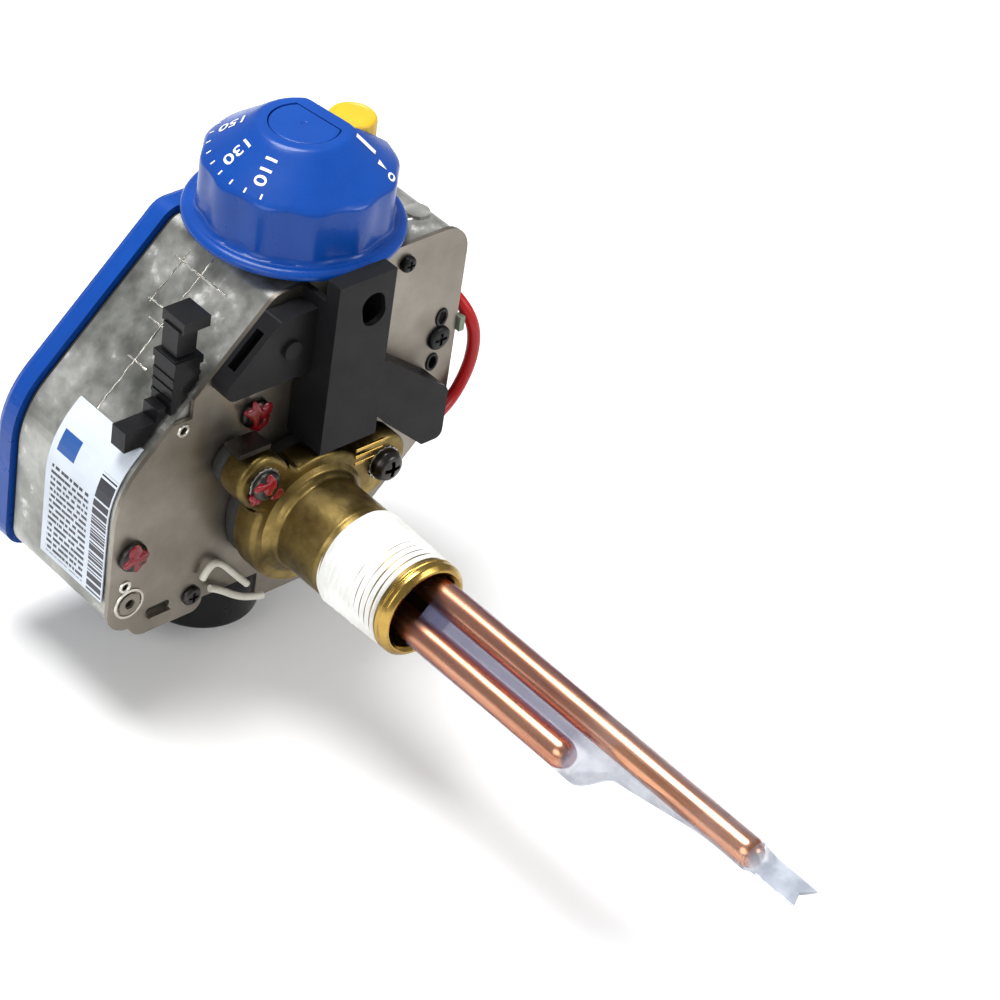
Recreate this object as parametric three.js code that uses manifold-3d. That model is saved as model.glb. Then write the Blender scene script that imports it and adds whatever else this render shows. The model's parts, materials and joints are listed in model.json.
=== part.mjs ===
// Gas control valve for a storage water heater: a cast body with a moulded front cover,
// a turning control knob with a pilot button, and a brass shank that screws into the tank
// and carries the thermostat probe.
//
// Millimetres, +Z up. The origin is where the shank's axis meets the back plate's outer face.
// +Y points into the tank, -Y to the front cover, +X to the right of a person facing the front.

import * as THREE from 'three';
import { mergeVertices } from 'three/addons/utils/BufferGeometryUtils.js';
import Module from 'manifold-3d';

const wasm = await Module();
wasm.setup();

// ---------------------------------------------------------------- driving dimensions

const FIT = 0.3; // clearance between pieces that meet
const ARC_STEPS = 4; // straight steps in one rounded corner
const ROUND_STEPS = 32; // straight steps round a large turned piece
const SMALL_STEPS = 12; // straight steps round a small turned piece

// Casing, from the tank side to the front.
const PLATE_BACK = 0;
const PLATE_FRONT = -1.2;
const BODY_BACK = -1.5;
const BODY_FRONT = -38.5;
const BODY_WALL = 4;
const BODY_INSET = 0.8; // the casting stands inside the plate's edge
const GASKET_BACK = -38.8;
const GASKET_FRONT = -39.4;
const COVER_BACK = -39.7;
const COVER_FRONT = -46;
const COVER_PROUD = 0.7; // the cover stands outside the plate's edge
const COVER_WALL = 2;
const COVER_SCREW = { x: 28, z: 10, head: 4, hole: 2.1 };

const CASE_LEFT = -50.5;
const CASE_RIGHT = 50.5;
const CASE_TOP = 60.8;
const CASE_BOTTOM = -23;
const SHOULDER = 69.5; // X + Z along the sloping shoulder
const SHOULDER_RADIUS = 24; // where the shoulder runs into the right side
const CHAMFER = -45; // X + Z along the lower left chamfer

// Control knob, about its own upright axis.
const KNOB_X = -12.5;
const KNOB_Y = -20.5;
const SKIRT_RADIUS = 26.7;
const SKIRT_BOTTOM = 62.7;
const SKIRT_TOP = 65.5;
const GRIP_RADIUS = 23.4;
const GRIP_TOP = 79.8;
const CROWN_RADIUS = 11.3;
const KNOB_TOP = 88.8;
const KNOB_ROOF = 74; // underside of the hollow
const HOLLOW_RADIUS = 21.6;
const HUB_RADIUS = 7.7;
const FLUTES = 12;
const CAP_RADIUS = 8.4;
const CAP_FLAT = 4.6; // the cap's flat, from the knob's axis toward the button
const CAP_THICK = 1.4;
const STEM_RADIUS = 4;

// The open notch in the knob that holds the pilot button.
const NOTCH_TURN = THREE.MathUtils.degToRad(187);
const NOTCH_START = 8.3; // from the knob's axis
const NOTCH_WALL = 8; // from the notch's middle line
const NOTCH_FLOOR = 77.5;
const BUTTON_X = -14.7; // from the knob's axis
const BUTTON_RADIUS = 6;
const BUTTON_TOP = 86.8;

// Shank, along +Y.
const FLANGE_BACK = 4;
const FLANGE_FACE = 11.5;
const FLANGE_RADIUS = 18.2;
const NECK_RADIUS = 12.7;
const THREAD_START = 28.4;
const THREAD_END = 49.6;
const THREAD_RADIUS = 13.35; // 3/4-14 NPT, 26.7 across
const THREAD_TAPER = 1 / 32; // of the radius
const SHANK_END = 53.1;
const BORE_RADIUS = 10.1;

// Probe: two closed tubes side by side in a clear sleeve.
const TUBE_RADIUS = 3.65;
const TUBE_BORE = 3;
const TUBE_BACK = -4;
const LONG_TUBE = { x: -4.1, z: 4, end: 159.5 };
const SHORT_TUBE = { x: 3.1, z: -3, end: 108 };
const SLEEVE_WALL = 0.25;
const SLEEVE_START = 55;
const SLEEVE_STEP = 115;
const TAIL_END = 174;

// Ports in the casting.
const OUTLET = { x: 7.7, y: -17.8 };
const OUTLET_BORE = 7;
const OUTLET_BOTTOM = -36;
const INLET = { y: -20, z: 30 };
const INLET_BORE = 9.3;

// Fasteners in the plate: x, z, shank radius.
const PLATE_SCREWS = {
  plate_screw_upper: { x: 11.8, z: 28.6, shank: 2 },
  plate_screw_side: { x: 44.8, z: -0.1, shank: 2 },
  plate_screw_bottom: { x: 25.6, z: -20.6, shank: 1.6 },
  top_screw: { x: -31, z: 55.5, shank: 1.4 },
  push_rivet: { x: -44.9, z: 28.8, shank: 1.7 },
};

// Fasteners in the flange's ears, with the ear's middle and radius.
const FLANGE_SCREWS = {
  flange_screw_left: { x: 16.7, z: 17.2, ear: 7.5 },
  flange_screw_right: { x: -20.8, z: 8.2, ear: 7.5 },
  flange_screw_lower: { x: -13, z: -18, ear: 7 },
};
const FLANGE_SCREW_SHANK = 2;

// ---------------------------------------------------------------- finishes

function finish(color, roughness, metalness) {
  return new THREE.MeshStandardMaterial({ color, roughness, metalness });
}

const BLUE = finish(0x1c3f8c, 0.3, 0);
const YELLOW = finish(0xe8c21a, 0.4, 0);
const CASTING = finish(0xa9ada6, 0.5, 0.8);
const PLATE = finish(0x6d655c, 0.4, 0.8);
const BRASS = finish(0x9c7f42, 0.35, 0.9);
const DARK_BRASS = finish(0x5a4623, 0.5, 0.8);
const STEEL = finish(0x8d8f92, 0.35, 0.9);
const DARK_STEEL = finish(0x35322f, 0.4, 0.8);
const COPPER = finish(0xb56a4c, 0.3, 0.95);
const BLACK = finish(0x161618, 0.5, 0);
const CHARCOAL = finish(0x262526, 0.55, 0);
const WHITE = finish(0xd9d6cc, 0.6, 0);
const RED = finish(0xa0101a, 0.5, 0);
const CLEAR = new THREE.MeshStandardMaterial({
  color: 0xc8d8e4, roughness: 0.15, metalness: 0, transparent: true, opacity: 0.35,
});
const LABEL = finish(0xcdd6e0, 0.45, 0);

// ---------------------------------------------------------------- shape helpers

// Outline through [x, z, radius] corners, with each corner rounded by its own radius.
function outline(corners) {
  const shape = new THREE.Shape();
  corners.forEach(([x, z, radius], i) => {
    const here = new THREE.Vector2(x, z);
    const back = new THREE.Vector2(...corners.at(i - 1)).sub(here).normalize();
    const ahead = new THREE.Vector2(...corners[(i + 1) % corners.length]).sub(here).normalize();
    const halfAngle = Math.acos(back.dot(ahead)) / 2;
    const start = here.clone().addScaledVector(back, radius / Math.tan(halfAngle));
    if (i === 0) {
      shape.moveTo(start.x, start.y);
    }
    if (!radius) {
      shape.lineTo(x, z);
      return;
    }
    const toMiddle = back.clone().add(ahead).normalize();
    const middle = here.clone().addScaledVector(toMiddle, radius / Math.sin(halfAngle));
    const end = here.clone().addScaledVector(ahead, radius / Math.tan(halfAngle));
    const from = start.clone().sub(middle).angle();
    const to = end.clone().sub(middle).angle();
    shape.absarc(middle.x, middle.y, radius, from, to, back.cross(ahead) > 0);
  });
  shape.closePath();
  return shape;
}

// The same corners with every side moved inward by a depth (outward when it is negative).
function inset(corners, depth) {
  const sides = corners.map(([x, z], i) => {
    const next = corners[(i + 1) % corners.length];
    const along = new THREE.Vector2(next[0] - x, next[1] - z).normalize();
    const point = new THREE.Vector2(x - along.y * depth, z + along.x * depth);
    return { point, along };
  });
  return corners.map(([, , radius], i) => {
    const before = sides.at(i - 1);
    const after = sides[i];
    const turn = before.along.cross(after.along);
    const gap = after.point.clone().sub(before.point);
    const corner = before.point.clone().addScaledVector(before.along, gap.cross(after.along) / turn);
    const rounded = radius && Math.max(radius - Math.sign(turn) * depth, 0);
    return [corner.x, corner.y, rounded];
  });
}

// Closed surface with shared corners, no slivers and its faces pointing out, as a solid.
function solid(geometry) {
  const bare = geometry.clone();
  bare.deleteAttribute('normal');
  bare.deleteAttribute('uv');
  const merged = mergeVertices(bare);
  const position = merged.attributes.position;
  const kept = [];
  let volume = 0;
  const [a, b, c] = [0, 1, 2].map(() => new THREE.Vector3());
  for (let i = 0; i < merged.index.count; i += 3) {
    const corners = [0, 1, 2].map((k) => merged.index.getX(i + k));
    if (new Set(corners).size === 3) {
      kept.push(corners);
      [a, b, c].forEach((point, k) => point.fromBufferAttribute(position, corners[k]));
      volume += a.dot(b.cross(c));
    }
  }
  const triangles = kept.map(([p, q, r]) => (volume > 0 ? [p, q, r] : [p, r, q])).flat();
  return new wasm.Manifold(new wasm.Mesh({
    numProp: 3,
    vertProperties: Float32Array.from(position.array),
    triVerts: Uint32Array.from(triangles),
  }));
}

function surface(body) {
  const mesh = body.getMesh();
  const geometry = new THREE.BufferGeometry();
  geometry.setAttribute('position', new THREE.BufferAttribute(mesh.vertProperties, 3));
  geometry.setIndex(new THREE.BufferAttribute(mesh.triVerts, 1));
  geometry.computeVertexNormals();
  return geometry;
}

const join = (...bodies) => bodies.reduce((whole, body) => whole.add(body));
const cut = (body, ...tools) => tools.reduce((left, tool) => left.subtract(tool), body);

function moved(body, x, y, z) {
  return body.translate([x, y, z]);
}

function block(low, high) {
  const size = high.map((value, k) => value - low[k]);
  const geometry = new THREE.BoxGeometry(...size);
  geometry.translate(...low.map((value, k) => value + size[k] / 2));
  return solid(geometry);
}

// Outline in X and Z, pulled along Y.
function slab(shape, yLow, yHigh) {
  const geometry = new THREE.ExtrudeGeometry(shape, {
    depth: yHigh - yLow,
    bevelEnabled: false,
    curveSegments: ARC_STEPS,
  });
  geometry.rotateX(Math.PI / 2);
  geometry.translate(0, yHigh, 0);
  return solid(geometry);
}

// Turned piece from [radius, height] points about X, Y or Z.
function turned(profile, axis = 'z', steps = ROUND_STEPS) {
  const geometry = new THREE.LatheGeometry(profile.map((p) => new THREE.Vector2(...p)), steps);
  if (axis === 'z') {
    geometry.rotateX(Math.PI / 2);
  }
  if (axis === 'x') {
    geometry.rotateZ(-Math.PI / 2);
  }
  return solid(geometry);
}

function rod(radius, low, high, axis = 'z', steps = SMALL_STEPS) {
  return turned([[0, low], [radius, low], [radius, high], [0, high]], axis, steps);
}

function ring(inner, outer, low, high, axis = 'z', steps = ROUND_STEPS) {
  return turned([[inner, low], [outer, low], [outer, high], [inner, high], [inner, low]], axis, steps);
}

// Round lead through a list of points.
function lead(points, radius, steps) {
  const section = new THREE.Shape();
  section.absarc(0, 0, radius, 0, Math.PI * 2, false);
  const path = new THREE.CatmullRomCurve3(points.map((p) => new THREE.Vector3(...p)));
  const options = { steps, bevelEnabled: false, extrudePath: path, curveSegments: 4 };
  return solid(new THREE.ExtrudeGeometry(section, options));
}

// Coil spring about Z.
function spring(coilRadius, wireRadius, low, high, turns) {
  const stepsInTurn = 12;
  const points = [];
  for (let i = 0; i <= turns * stepsInTurn; i += 1) {
    const angle = (i / stepsInTurn) * Math.PI * 2;
    const rise = (i / (turns * stepsInTurn)) * (high - low - 2 * wireRadius);
    const [x, y] = [coilRadius * Math.cos(angle), coilRadius * Math.sin(angle)];
    points.push(new THREE.Vector3(x, y, low + wireRadius + rise));
  }
  const section = new THREE.Shape();
  section.absarc(0, 0, wireRadius, 0, Math.PI * 2, false);
  const extrudePath = new THREE.CatmullRomCurve3(points);
  const steps = turns * stepsInTurn;
  return solid(new THREE.ExtrudeGeometry(section, {
    steps, bevelEnabled: false, extrudePath, curveSegments: 3,
  }));
}

function place(parent, name, body, material, position = [0, 0, 0]) {
  const mesh = new THREE.Mesh(surface(body), material);
  mesh.name = name;
  mesh.position.set(...position);
  parent.add(mesh);
}

// ---------------------------------------------------------------- casing

const CASE = [
  [CHAMFER - CASE_BOTTOM, CASE_BOTTOM, 3],
  [CASE_RIGHT, CASE_BOTTOM, 7],
  [CASE_RIGHT, SHOULDER - CASE_RIGHT, SHOULDER_RADIUS],
  [SHOULDER - CASE_TOP, CASE_TOP, 6],
  [CASE_LEFT, CASE_TOP, 8],
  [CASE_LEFT, CHAMFER - CASE_LEFT, 5],
];

function backPlate() {
  const main = slab(outline(CASE), PLATE_FRONT, PLATE_BACK);
  const tab = block([-14, PLATE_FRONT, -31], [5, PLATE_BACK, -20]);
  const lobes = [[21.5, -21, 1], [22.5, -26.5, 3], [41.5, -26.5, 5], [45, -21, 1]];
  const lobe = slab(outline(lobes), PLATE_FRONT, PLATE_BACK);
  const ringRim = moved(ring(1.4, 3.1, PLATE_BACK - 0.3, PLATE_BACK + 0.5, 'y', SMALL_STEPS), 44.4, 0, -14.8);
  const slotLip = block([32.2, PLATE_BACK - 0.2, -21.9], [38.6, PLATE_BACK + 1.2, -21.3]);
  const through = (shape) => slab(outline(shape), PLATE_FRONT - 1, PLATE_BACK + 2);
  const slot = through([[32, -21.2, 0.9], [38.8, -21.2, 0.9], [38.8, -19, 0.9], [32, -19, 0.9]]);
  const notch = block([30.3, PLATE_FRONT - 1, 33.9], [46, PLATE_BACK + 1, 46]);
  const bore = rod(BORE_RADIUS + FIT, PLATE_FRONT - 1, PLATE_BACK + 1, 'y', ROUND_STEPS);
  const eyelets = [[-45.2, 34.6], [-44, 21.7]].map(([x, z]) => through([
    [x - 1.4, z - 2.1, 1.3], [x + 1.4, z - 2.1, 1.3], [x + 1.4, z + 2.1, 1.3], [x - 1.4, z + 2.1, 1.3],
  ]));
  const smallHoles = [[44.4, -14.8], [46, -9.1], [32.7, 31.5]].map(([x, z]) =>
    moved(rod(1.2, PLATE_FRONT - 1, PLATE_BACK + 1, 'y', 12), x, 0, z));
  const screwHoles = [...Object.values(PLATE_SCREWS), ...flangeScrewHoles()].map(({ x, z, shank }) =>
    moved(rod(shank + FIT, PLATE_FRONT - 1, PLATE_BACK + 1, 'y'), x, 0, z));
  const blank = join(main, tab, lobe, ringRim, slotLip);
  return cut(blank, slot, notch, bore, ...eyelets, ...smallHoles, ...screwHoles);
}

function flangeScrewHoles() {
  return Object.values(FLANGE_SCREWS).map(({ x, z }) => ({ x, z, shank: FLANGE_SCREW_SHANK }));
}

function valveBody() {
  const top = CASE_TOP - BODY_INSET;
  const shell = slab(outline(inset(CASE, BODY_INSET)), BODY_FRONT, BODY_BACK);
  const hollowCorners = inset(CASE, BODY_INSET + BODY_WALL);
  const hollow = slab(outline(hollowCorners), BODY_FRONT + BODY_WALL, BODY_BACK + 1);
  const posts = ['plate_screw_upper', 'plate_screw_side', 'top_screw'].map((name) => {
    const { x, z } = PLATE_SCREWS[name];
    return moved(rod(4, BODY_FRONT + BODY_WALL / 2, BODY_BACK, 'y'), x, 0, z);
  });
  const tappedNames = ['plate_screw_upper', 'plate_screw_side', 'top_screw', 'push_rivet'];
  const tapped = [...tappedNames.map((name) => PLATE_SCREWS[name]), ...flangeScrewHoles()].map(
    ({ x, z, shank }) => moved(rod(shank + FIT, -14, BODY_BACK + 1, 'y'), x, 0, z));
  const outletBore = moved(rod(OUTLET_BORE, CASE_BOTTOM - 1, CASE_BOTTOM + 6, 'z', ROUND_STEPS), OUTLET.x, OUTLET.y, 0);
  const inletHole = moved(rod(11.8, CASE_LEFT - 1, CASE_LEFT + 6, 'x', ROUND_STEPS), 0, INLET.y, INLET.z);
  const stemHole = moved(rod(6.3, top - BODY_WALL - 1, top + 1), KNOB_X, KNOB_Y, 0);
  const topBoss = moved(rod(3, top - 1, top + 0.8), -42.2, -10, 0);
  const coverHole = moved(rod(COVER_SCREW.hole, BODY_FRONT - 1, BODY_FRONT + BODY_WALL + 1, 'y'), COVER_SCREW.x, 0, COVER_SCREW.z);
  const walls = join(cut(shell, hollow), ...posts, topBoss);
  return cut(walls, outletBore, inletHole, stemHole, coverHole, ...tapped);
}

function frontCover() {
  const bevel = 2;
  const corners = inset(CASE, -COVER_PROUD);
  const geometry = new THREE.ExtrudeGeometry(outline(corners), {
    depth: 8,
    bevelThickness: bevel,
    bevelSize: bevel,
    bevelOffset: -bevel,
    bevelSegments: 2,
    curveSegments: ARC_STEPS,
  });
  geometry.rotateX(Math.PI / 2);
  geometry.translate(0, COVER_FRONT + bevel + 8, 0);
  const front = COVER_FRONT + COVER_WALL;
  const hollow = slab(outline(inset(CASE, COVER_WALL - COVER_PROUD)), front, COVER_BACK + 1);
  const post = moved(rod(6, front - 0.5, COVER_BACK, 'y'), COVER_SCREW.x, 0, COVER_SCREW.z);
  const sink = moved(rod(COVER_SCREW.head + 0.4, COVER_FRONT - 1, front + 0.5, 'y'), COVER_SCREW.x, 0, COVER_SCREW.z);
  const hole = moved(rod(COVER_SCREW.hole, COVER_FRONT, COVER_BACK + 1, 'y'), COVER_SCREW.x, 0, COVER_SCREW.z);
  const behind = block([-80, COVER_BACK, -60], [80, COVER_BACK + 20, 90]);
  return cut(join(cut(solid(geometry), behind, hollow), post), sink, hole);
}

function coverScrew() {
  const top = COVER_FRONT + 0.2;
  const seat = COVER_FRONT + COVER_WALL + 0.2;
  const shank = COVER_SCREW.hole - FIT;
  const tip = BODY_FRONT + BODY_WALL + 1.5;
  return turned([
    [0, top], [COVER_SCREW.head - 0.6, top], [COVER_SCREW.head, top + 0.6], [COVER_SCREW.head, seat],
    [shank, seat], [shank, tip], [0, tip],
  ], 'y', 16);
}

function bodyGasket() {
  const outer = slab(outline(inset(CASE, BODY_INSET + 0.4)), GASKET_FRONT, GASKET_BACK);
  const inner = slab(outline(inset(CASE, BODY_INSET + BODY_WALL)), GASKET_FRONT - 1, GASKET_BACK + 1);
  return cut(outer, inner);
}

// Printed film wrapped round the right side and onto the shoulder, just off the casting.
function infoLabel() {
  const gap = 0.3;
  const thickness = 0.3;
  const [yLow, yHigh] = [-27, -3];
  const [zLow, zHigh] = [-14.2, 27.5];
  const outside = slab(outline(inset(CASE, BODY_INSET - gap - thickness)), yLow, yHigh);
  const inside = slab(outline(inset(CASE, BODY_INSET - gap)), yLow - 1, yHigh + 1);
  return cut(outside, inside).intersect(block([41, yLow, zLow], [CASE_RIGHT + 1, yHigh, zHigh]));
}

// Pipe stub under the casting that carries the burner's supply.
function outletStub() {
  return ring(OUTLET_BORE, 10.5, OUTLET_BOTTOM, CASE_BOTTOM + BODY_INSET - 0.1);
}

function outletCap() {
  const bottom = -40.5;
  const top = -24;
  const radius = 15;
  const inner = 10.9;
  const profile = [
    [0, bottom], [radius - 1.2, bottom], [radius, bottom + 1.2], [radius, top - 1], [radius - 1, top],
    [inner, top], [inner, OUTLET_BOTTOM - FIT], [0, OUTLET_BOTTOM - FIT],
  ];
  return turned(profile);
}

function inletBushing() {
  const profile = [
    [INLET_BORE, -57.5], [12.9, -57.5], [13.5, -56.9], [13.5, -50], [11.5, -50], [11.5, -44.5],
    [INLET_BORE, -44.5], [INLET_BORE, -57.5],
  ];
  return turned(profile, 'x');
}

// Dome-headed screw through the plate: its head stands on the outer face.
function plateScrew(headRadius, headHeight, shank, reach) {
  const seat = PLATE_BACK + 0.1;
  const profile = [
    [0, -reach], [shank, -reach], [shank, seat], [headRadius, seat],
    [headRadius, seat + headHeight * 0.45], [headRadius * 0.7, seat + headHeight * 0.88],
    [0, seat + headHeight],
  ];
  return turned(profile, 'y', SMALL_STEPS);
}

// ---------------------------------------------------------------- knob and pilot button

// Disc with one flat side toward the button.
function capDisc(radius, flat, low, high) {
  const beyond = block([flat, -radius - 1, low - 1], [radius + 1, radius + 1, high + 1]);
  const disc = rod(radius, low, high, 'z', ROUND_STEPS);
  return cut(disc, beyond.rotate([0, 0, THREE.MathUtils.radToDeg(NOTCH_TURN)]));
}

function controlKnob() {
  const outside = turned([
    [0, SKIRT_BOTTOM], [SKIRT_RADIUS, SKIRT_BOTTOM], [SKIRT_RADIUS, SKIRT_TOP - 0.6],
    [SKIRT_RADIUS - 0.6, SKIRT_TOP], [GRIP_RADIUS, SKIRT_TOP + 0.2], [GRIP_RADIUS, GRIP_TOP - 1.6],
    [GRIP_RADIUS - 1, GRIP_TOP], [CROWN_RADIUS, KNOB_TOP], [0, KNOB_TOP],
  ], 'z', 48);
  const hollow = ring(HUB_RADIUS, HOLLOW_RADIUS, SKIRT_BOTTOM - 1, KNOB_ROOF);
  const stemSocket = rod(STEM_RADIUS + FIT, SKIRT_BOTTOM - 1, 80.3);
  const socketFloor = KNOB_TOP - CAP_THICK - FIT;
  const capSocket = capDisc(CAP_RADIUS + FIT, CAP_FLAT + FIT, socketFloor, KNOB_TOP + 1);
  const notch = block([NOTCH_START, -40, NOTCH_FLOOR], [40, NOTCH_WALL, KNOB_TOP + 5]);
  const buttonHole = moved(rod(BUTTON_RADIUS + FIT, KNOB_ROOF - 1, NOTCH_FLOOR + 1, 'z', 24), BUTTON_X, 0, 0);
  const fluteRadius = 9;
  const fluteDepth = 0.5;
  const flutes = [];
  for (let i = 0; i < FLUTES; i += 1) {
    const angle = ((i + 0.5) / FLUTES) * Math.PI * 2;
    const reach = GRIP_RADIUS + fluteRadius - fluteDepth;
    const flute = rod(fluteRadius, SKIRT_TOP + 0.4, KNOB_TOP);
    flutes.push(moved(flute, reach * Math.cos(angle), reach * Math.sin(angle), 0));
  }
  // The notch is drawn along +X with its wall on the left, and turned to the button's side.
  const turnedNotch = notch.mirror([0, 1, 0]).rotate([0, 0, THREE.MathUtils.radToDeg(NOTCH_TURN)]);
  return cut(outside, hollow, stemSocket, capSocket, turnedNotch, buttonHole, ...flutes);
}

function pilotButton() {
  const bottom = 71.8;
  const flange = KNOB_ROOF - 0.3;
  const flangeRadius = BUTTON_RADIUS + 0.5;
  return turned([
    [0, bottom], [flangeRadius, bottom], [flangeRadius, flange], [BUTTON_RADIUS, flange],
    [BUTTON_RADIUS, BUTTON_TOP - 1], [BUTTON_RADIUS - 1, BUTTON_TOP], [0, BUTTON_TOP],
  ], 'z', 24);
}

function gasCockPlug() {
  const taper = turned([[0, 30], [6.5, 30], [9, 49.9], [0, 49.9]], 'z', 24);
  return cut(taper, moved(rod(3, -12, 12, 'x'), 0, 0, 38));
}

function knobGroup() {
  const group = new THREE.Group();
  group.position.set(KNOB_X, KNOB_Y, 0);
  place(group, 'control_knob', controlKnob(), BLUE);
  place(group, 'knob_cap', capDisc(CAP_RADIUS, CAP_FLAT, KNOB_TOP - CAP_THICK, KNOB_TOP), BLUE);
  place(group, 'knob_base', ring(HUB_RADIUS + FIT, HOLLOW_RADIUS - FIT, 63, 64.2), BLACK);
  place(group, 'knob_stem', rod(STEM_RADIUS, 50.2, 80), STEEL);
  place(group, 'stem_bushing', ring(STEM_RADIUS + FIT, 11, 60.3, 62.4, 'z', 24), DARK_BRASS);
  place(group, 'stem_seal', ring(STEM_RADIUS + 0.2, 6, 57.2, 59.2, 'z', 24), BLACK);
  place(group, 'gas_cock_plug', gasCockPlug(), BRASS);
  place(group, 'pilot_button', pilotButton(), YELLOW, [BUTTON_X, 0, 0]);
  place(group, 'button_spring', spring(4.4, 0.4, 64.5, 71.6, 2.5), STEEL, [BUTTON_X, 0, 0]);
  return group;
}

// ---------------------------------------------------------------- valves inside the casting

const SAFETY = { x: 28, y: -20 };
const BRIDGE = { bottom: -6, top: -3.5 };
const LEVER = { y: -9, z: 8 };

function valveBridge() {
  const plate = block([-6, -34.2, BRIDGE.bottom], [38, -6, BRIDGE.top]);
  const rodHole = moved(rod(1.9, BRIDGE.bottom - 1, BRIDGE.top + 1), OUTLET.x, OUTLET.y, 0);
  const seat = moved(rod(5, BRIDGE.bottom - 1, BRIDGE.top + 1), SAFETY.x, SAFETY.y, 0);
  return cut(plate, rodHole, seat);
}

function mainValveDisc() {
  const bottom = -17.1;
  return turned([
    [0, bottom], [9, bottom], [9, bottom + 2], [1.5, bottom + 2], [1.5, 9], [3.4, 9], [3.4, 11], [0, 11],
  ], 'z', 24);
}

function safetyValveDisc() {
  const bottom = BRIDGE.top + FIT;
  return turned([[0, bottom], [8, bottom], [8, bottom + 2], [1.5, bottom + 2], [1.5, 4], [0, 4]], 'z', 24);
}

function thermostatLever() {
  const hub = block([-6, LEVER.y - 2, LEVER.z - 2], [10.4, LEVER.y + 2, LEVER.z + 2]);
  const down = block([-6, LEVER.y - 0.5, 1.5], [-1.6, LEVER.y + 1.5, LEVER.z]);
  const across = block([5, -20, 6.5], [10.4, LEVER.y, 8.3]);
  const pinHole = moved(rod(1.5, -10, 14, 'x'), 0, LEVER.y, LEVER.z);
  const rodHole = moved(rod(2.6, 5, 10), OUTLET.x, OUTLET.y, 0);
  return cut(join(hub, down, across), pinHole, rodHole);
}

// ---------------------------------------------------------------- shank and probe

function earedOutline(shrink, yLow, yHigh) {
  const disc = rod(FLANGE_RADIUS - shrink, yLow, yHigh, 'y', ROUND_STEPS);
  const ears = Object.values(FLANGE_SCREWS).flatMap(({ x, z, ear }) => {
    const reach = Math.hypot(x, z);
    const half = ear - shrink - 1;
    const arm = block([0, yLow, -half], [reach, yHigh, half]);
    const angle = THREE.MathUtils.radToDeg(Math.atan2(z, x));
    return [moved(rod(ear - shrink, yLow, yHigh, 'y', 20), x, 0, z), arm.rotate([0, -angle, 0])];
  });
  const holes = flangeScrewHoles().map(({ x, z, shank }) =>
    moved(rod(shank + FIT, yLow - 1, yHigh + 1, 'y'), x, 0, z));
  const bore = rod(BORE_RADIUS + FIT, yLow - 1, yHigh + 1, 'y', ROUND_STEPS);
  return { blank: join(disc, ...ears), holes, bore };
}

function brassShank() {
  const root = THREAD_RADIUS - 1.2;
  const rim = THREAD_RADIUS - 0.7;
  const neck = turned([
    [0, FLANGE_FACE - 1], [13.7, FLANGE_FACE - 1], [13.7, FLANGE_FACE + 0.8], [NECK_RADIUS, FLANGE_FACE + 2],
    [NECK_RADIUS, THREAD_START - FIT], [root, THREAD_START],
    [root - (THREAD_END - THREAD_START) * THREAD_TAPER, THREAD_END], [rim, THREAD_END + 0.1],
    [rim, SHANK_END - 1.4], [rim - 1.3, SHANK_END], [0, SHANK_END],
  ], 'y');
  const { blank, holes } = earedOutline(0, FLANGE_BACK, FLANGE_FACE);
  return cut(join(blank, neck), rod(BORE_RADIUS, FLANGE_BACK - 1, SHANK_END + 1, 'y', ROUND_STEPS), ...holes);
}

function flangeGasket() {
  const { blank, holes, bore } = earedOutline(0.6, PLATE_BACK + 0.2, FLANGE_BACK - 0.2);
  return cut(blank, bore, ...holes);
}

function threadSealant() {
  const [low, high] = [THREAD_START + 0.2, THREAD_END - 0.2];
  const drop = (high - low) * THREAD_TAPER;
  const inner = THREAD_RADIUS - 0.85;
  return turned([
    [inner, low], [THREAD_RADIUS, low], [THREAD_RADIUS - drop, high], [inner - drop, high], [inner, low],
  ], 'y');
}

function flangeScrew(headHeight, headRadius) {
  const seat = FLANGE_FACE + 0.1;
  return turned([
    [0, -6], [FLANGE_SCREW_SHANK, -6], [FLANGE_SCREW_SHANK, seat], [headRadius, seat],
    [headRadius, seat + headHeight * 0.5], [headRadius * 0.75, seat + headHeight * 0.85],
    [0, seat + headHeight],
  ], 'y', SMALL_STEPS);
}

function probeTube(end) {
  return turned([
    [0, end], [TUBE_RADIUS * 0.6, end - 0.5], [TUBE_RADIUS, end - 3], [TUBE_RADIUS, TUBE_BACK],
    [TUBE_BORE, TUBE_BACK], [TUBE_BORE, end - 4], [0, end - 2],
  ], 'y', 20);
}

function probeHeader() {
  const disc = rod(BORE_RADIUS - FIT, 5, 8, 'y', ROUND_STEPS);
  const holes = [LONG_TUBE, SHORT_TUBE].map(({ x, z }) => moved(rod(TUBE_RADIUS + 0.1, 4, 9, 'y', 20), x, 0, z));
  return cut(disc, ...holes);
}

// Oval wall round both tubes.
function probeSleeve() {
  const [acrossX, acrossZ] = [LONG_TUBE.x - SHORT_TUBE.x, LONG_TUBE.z - SHORT_TUBE.z];
  const oval = (radius) => {
    const halfLength = Math.hypot(acrossX, acrossZ) / 2 + radius;
    return outline([
      [-halfLength, -radius, radius - 0.01], [halfLength, -radius, radius - 0.01],
      [halfLength, radius, radius - 0.01], [-halfLength, radius, radius - 0.01],
    ]);
  };
  const inner = TUBE_RADIUS + 0.1;
  const tilt = THREE.MathUtils.radToDeg(Math.atan2(acrossZ, acrossX));
  const wall = slab(oval(inner + SLEEVE_WALL), SLEEVE_START, SLEEVE_STEP);
  const space = slab(oval(inner), SLEEVE_START - 1, SLEEVE_STEP + 1);
  const [middleX, middleZ] = [SHORT_TUBE.x + acrossX / 2, SHORT_TUBE.z + acrossZ / 2];
  return moved(cut(wall, space).rotate([0, -tilt, 0]), middleX, 0, middleZ);
}

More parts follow.
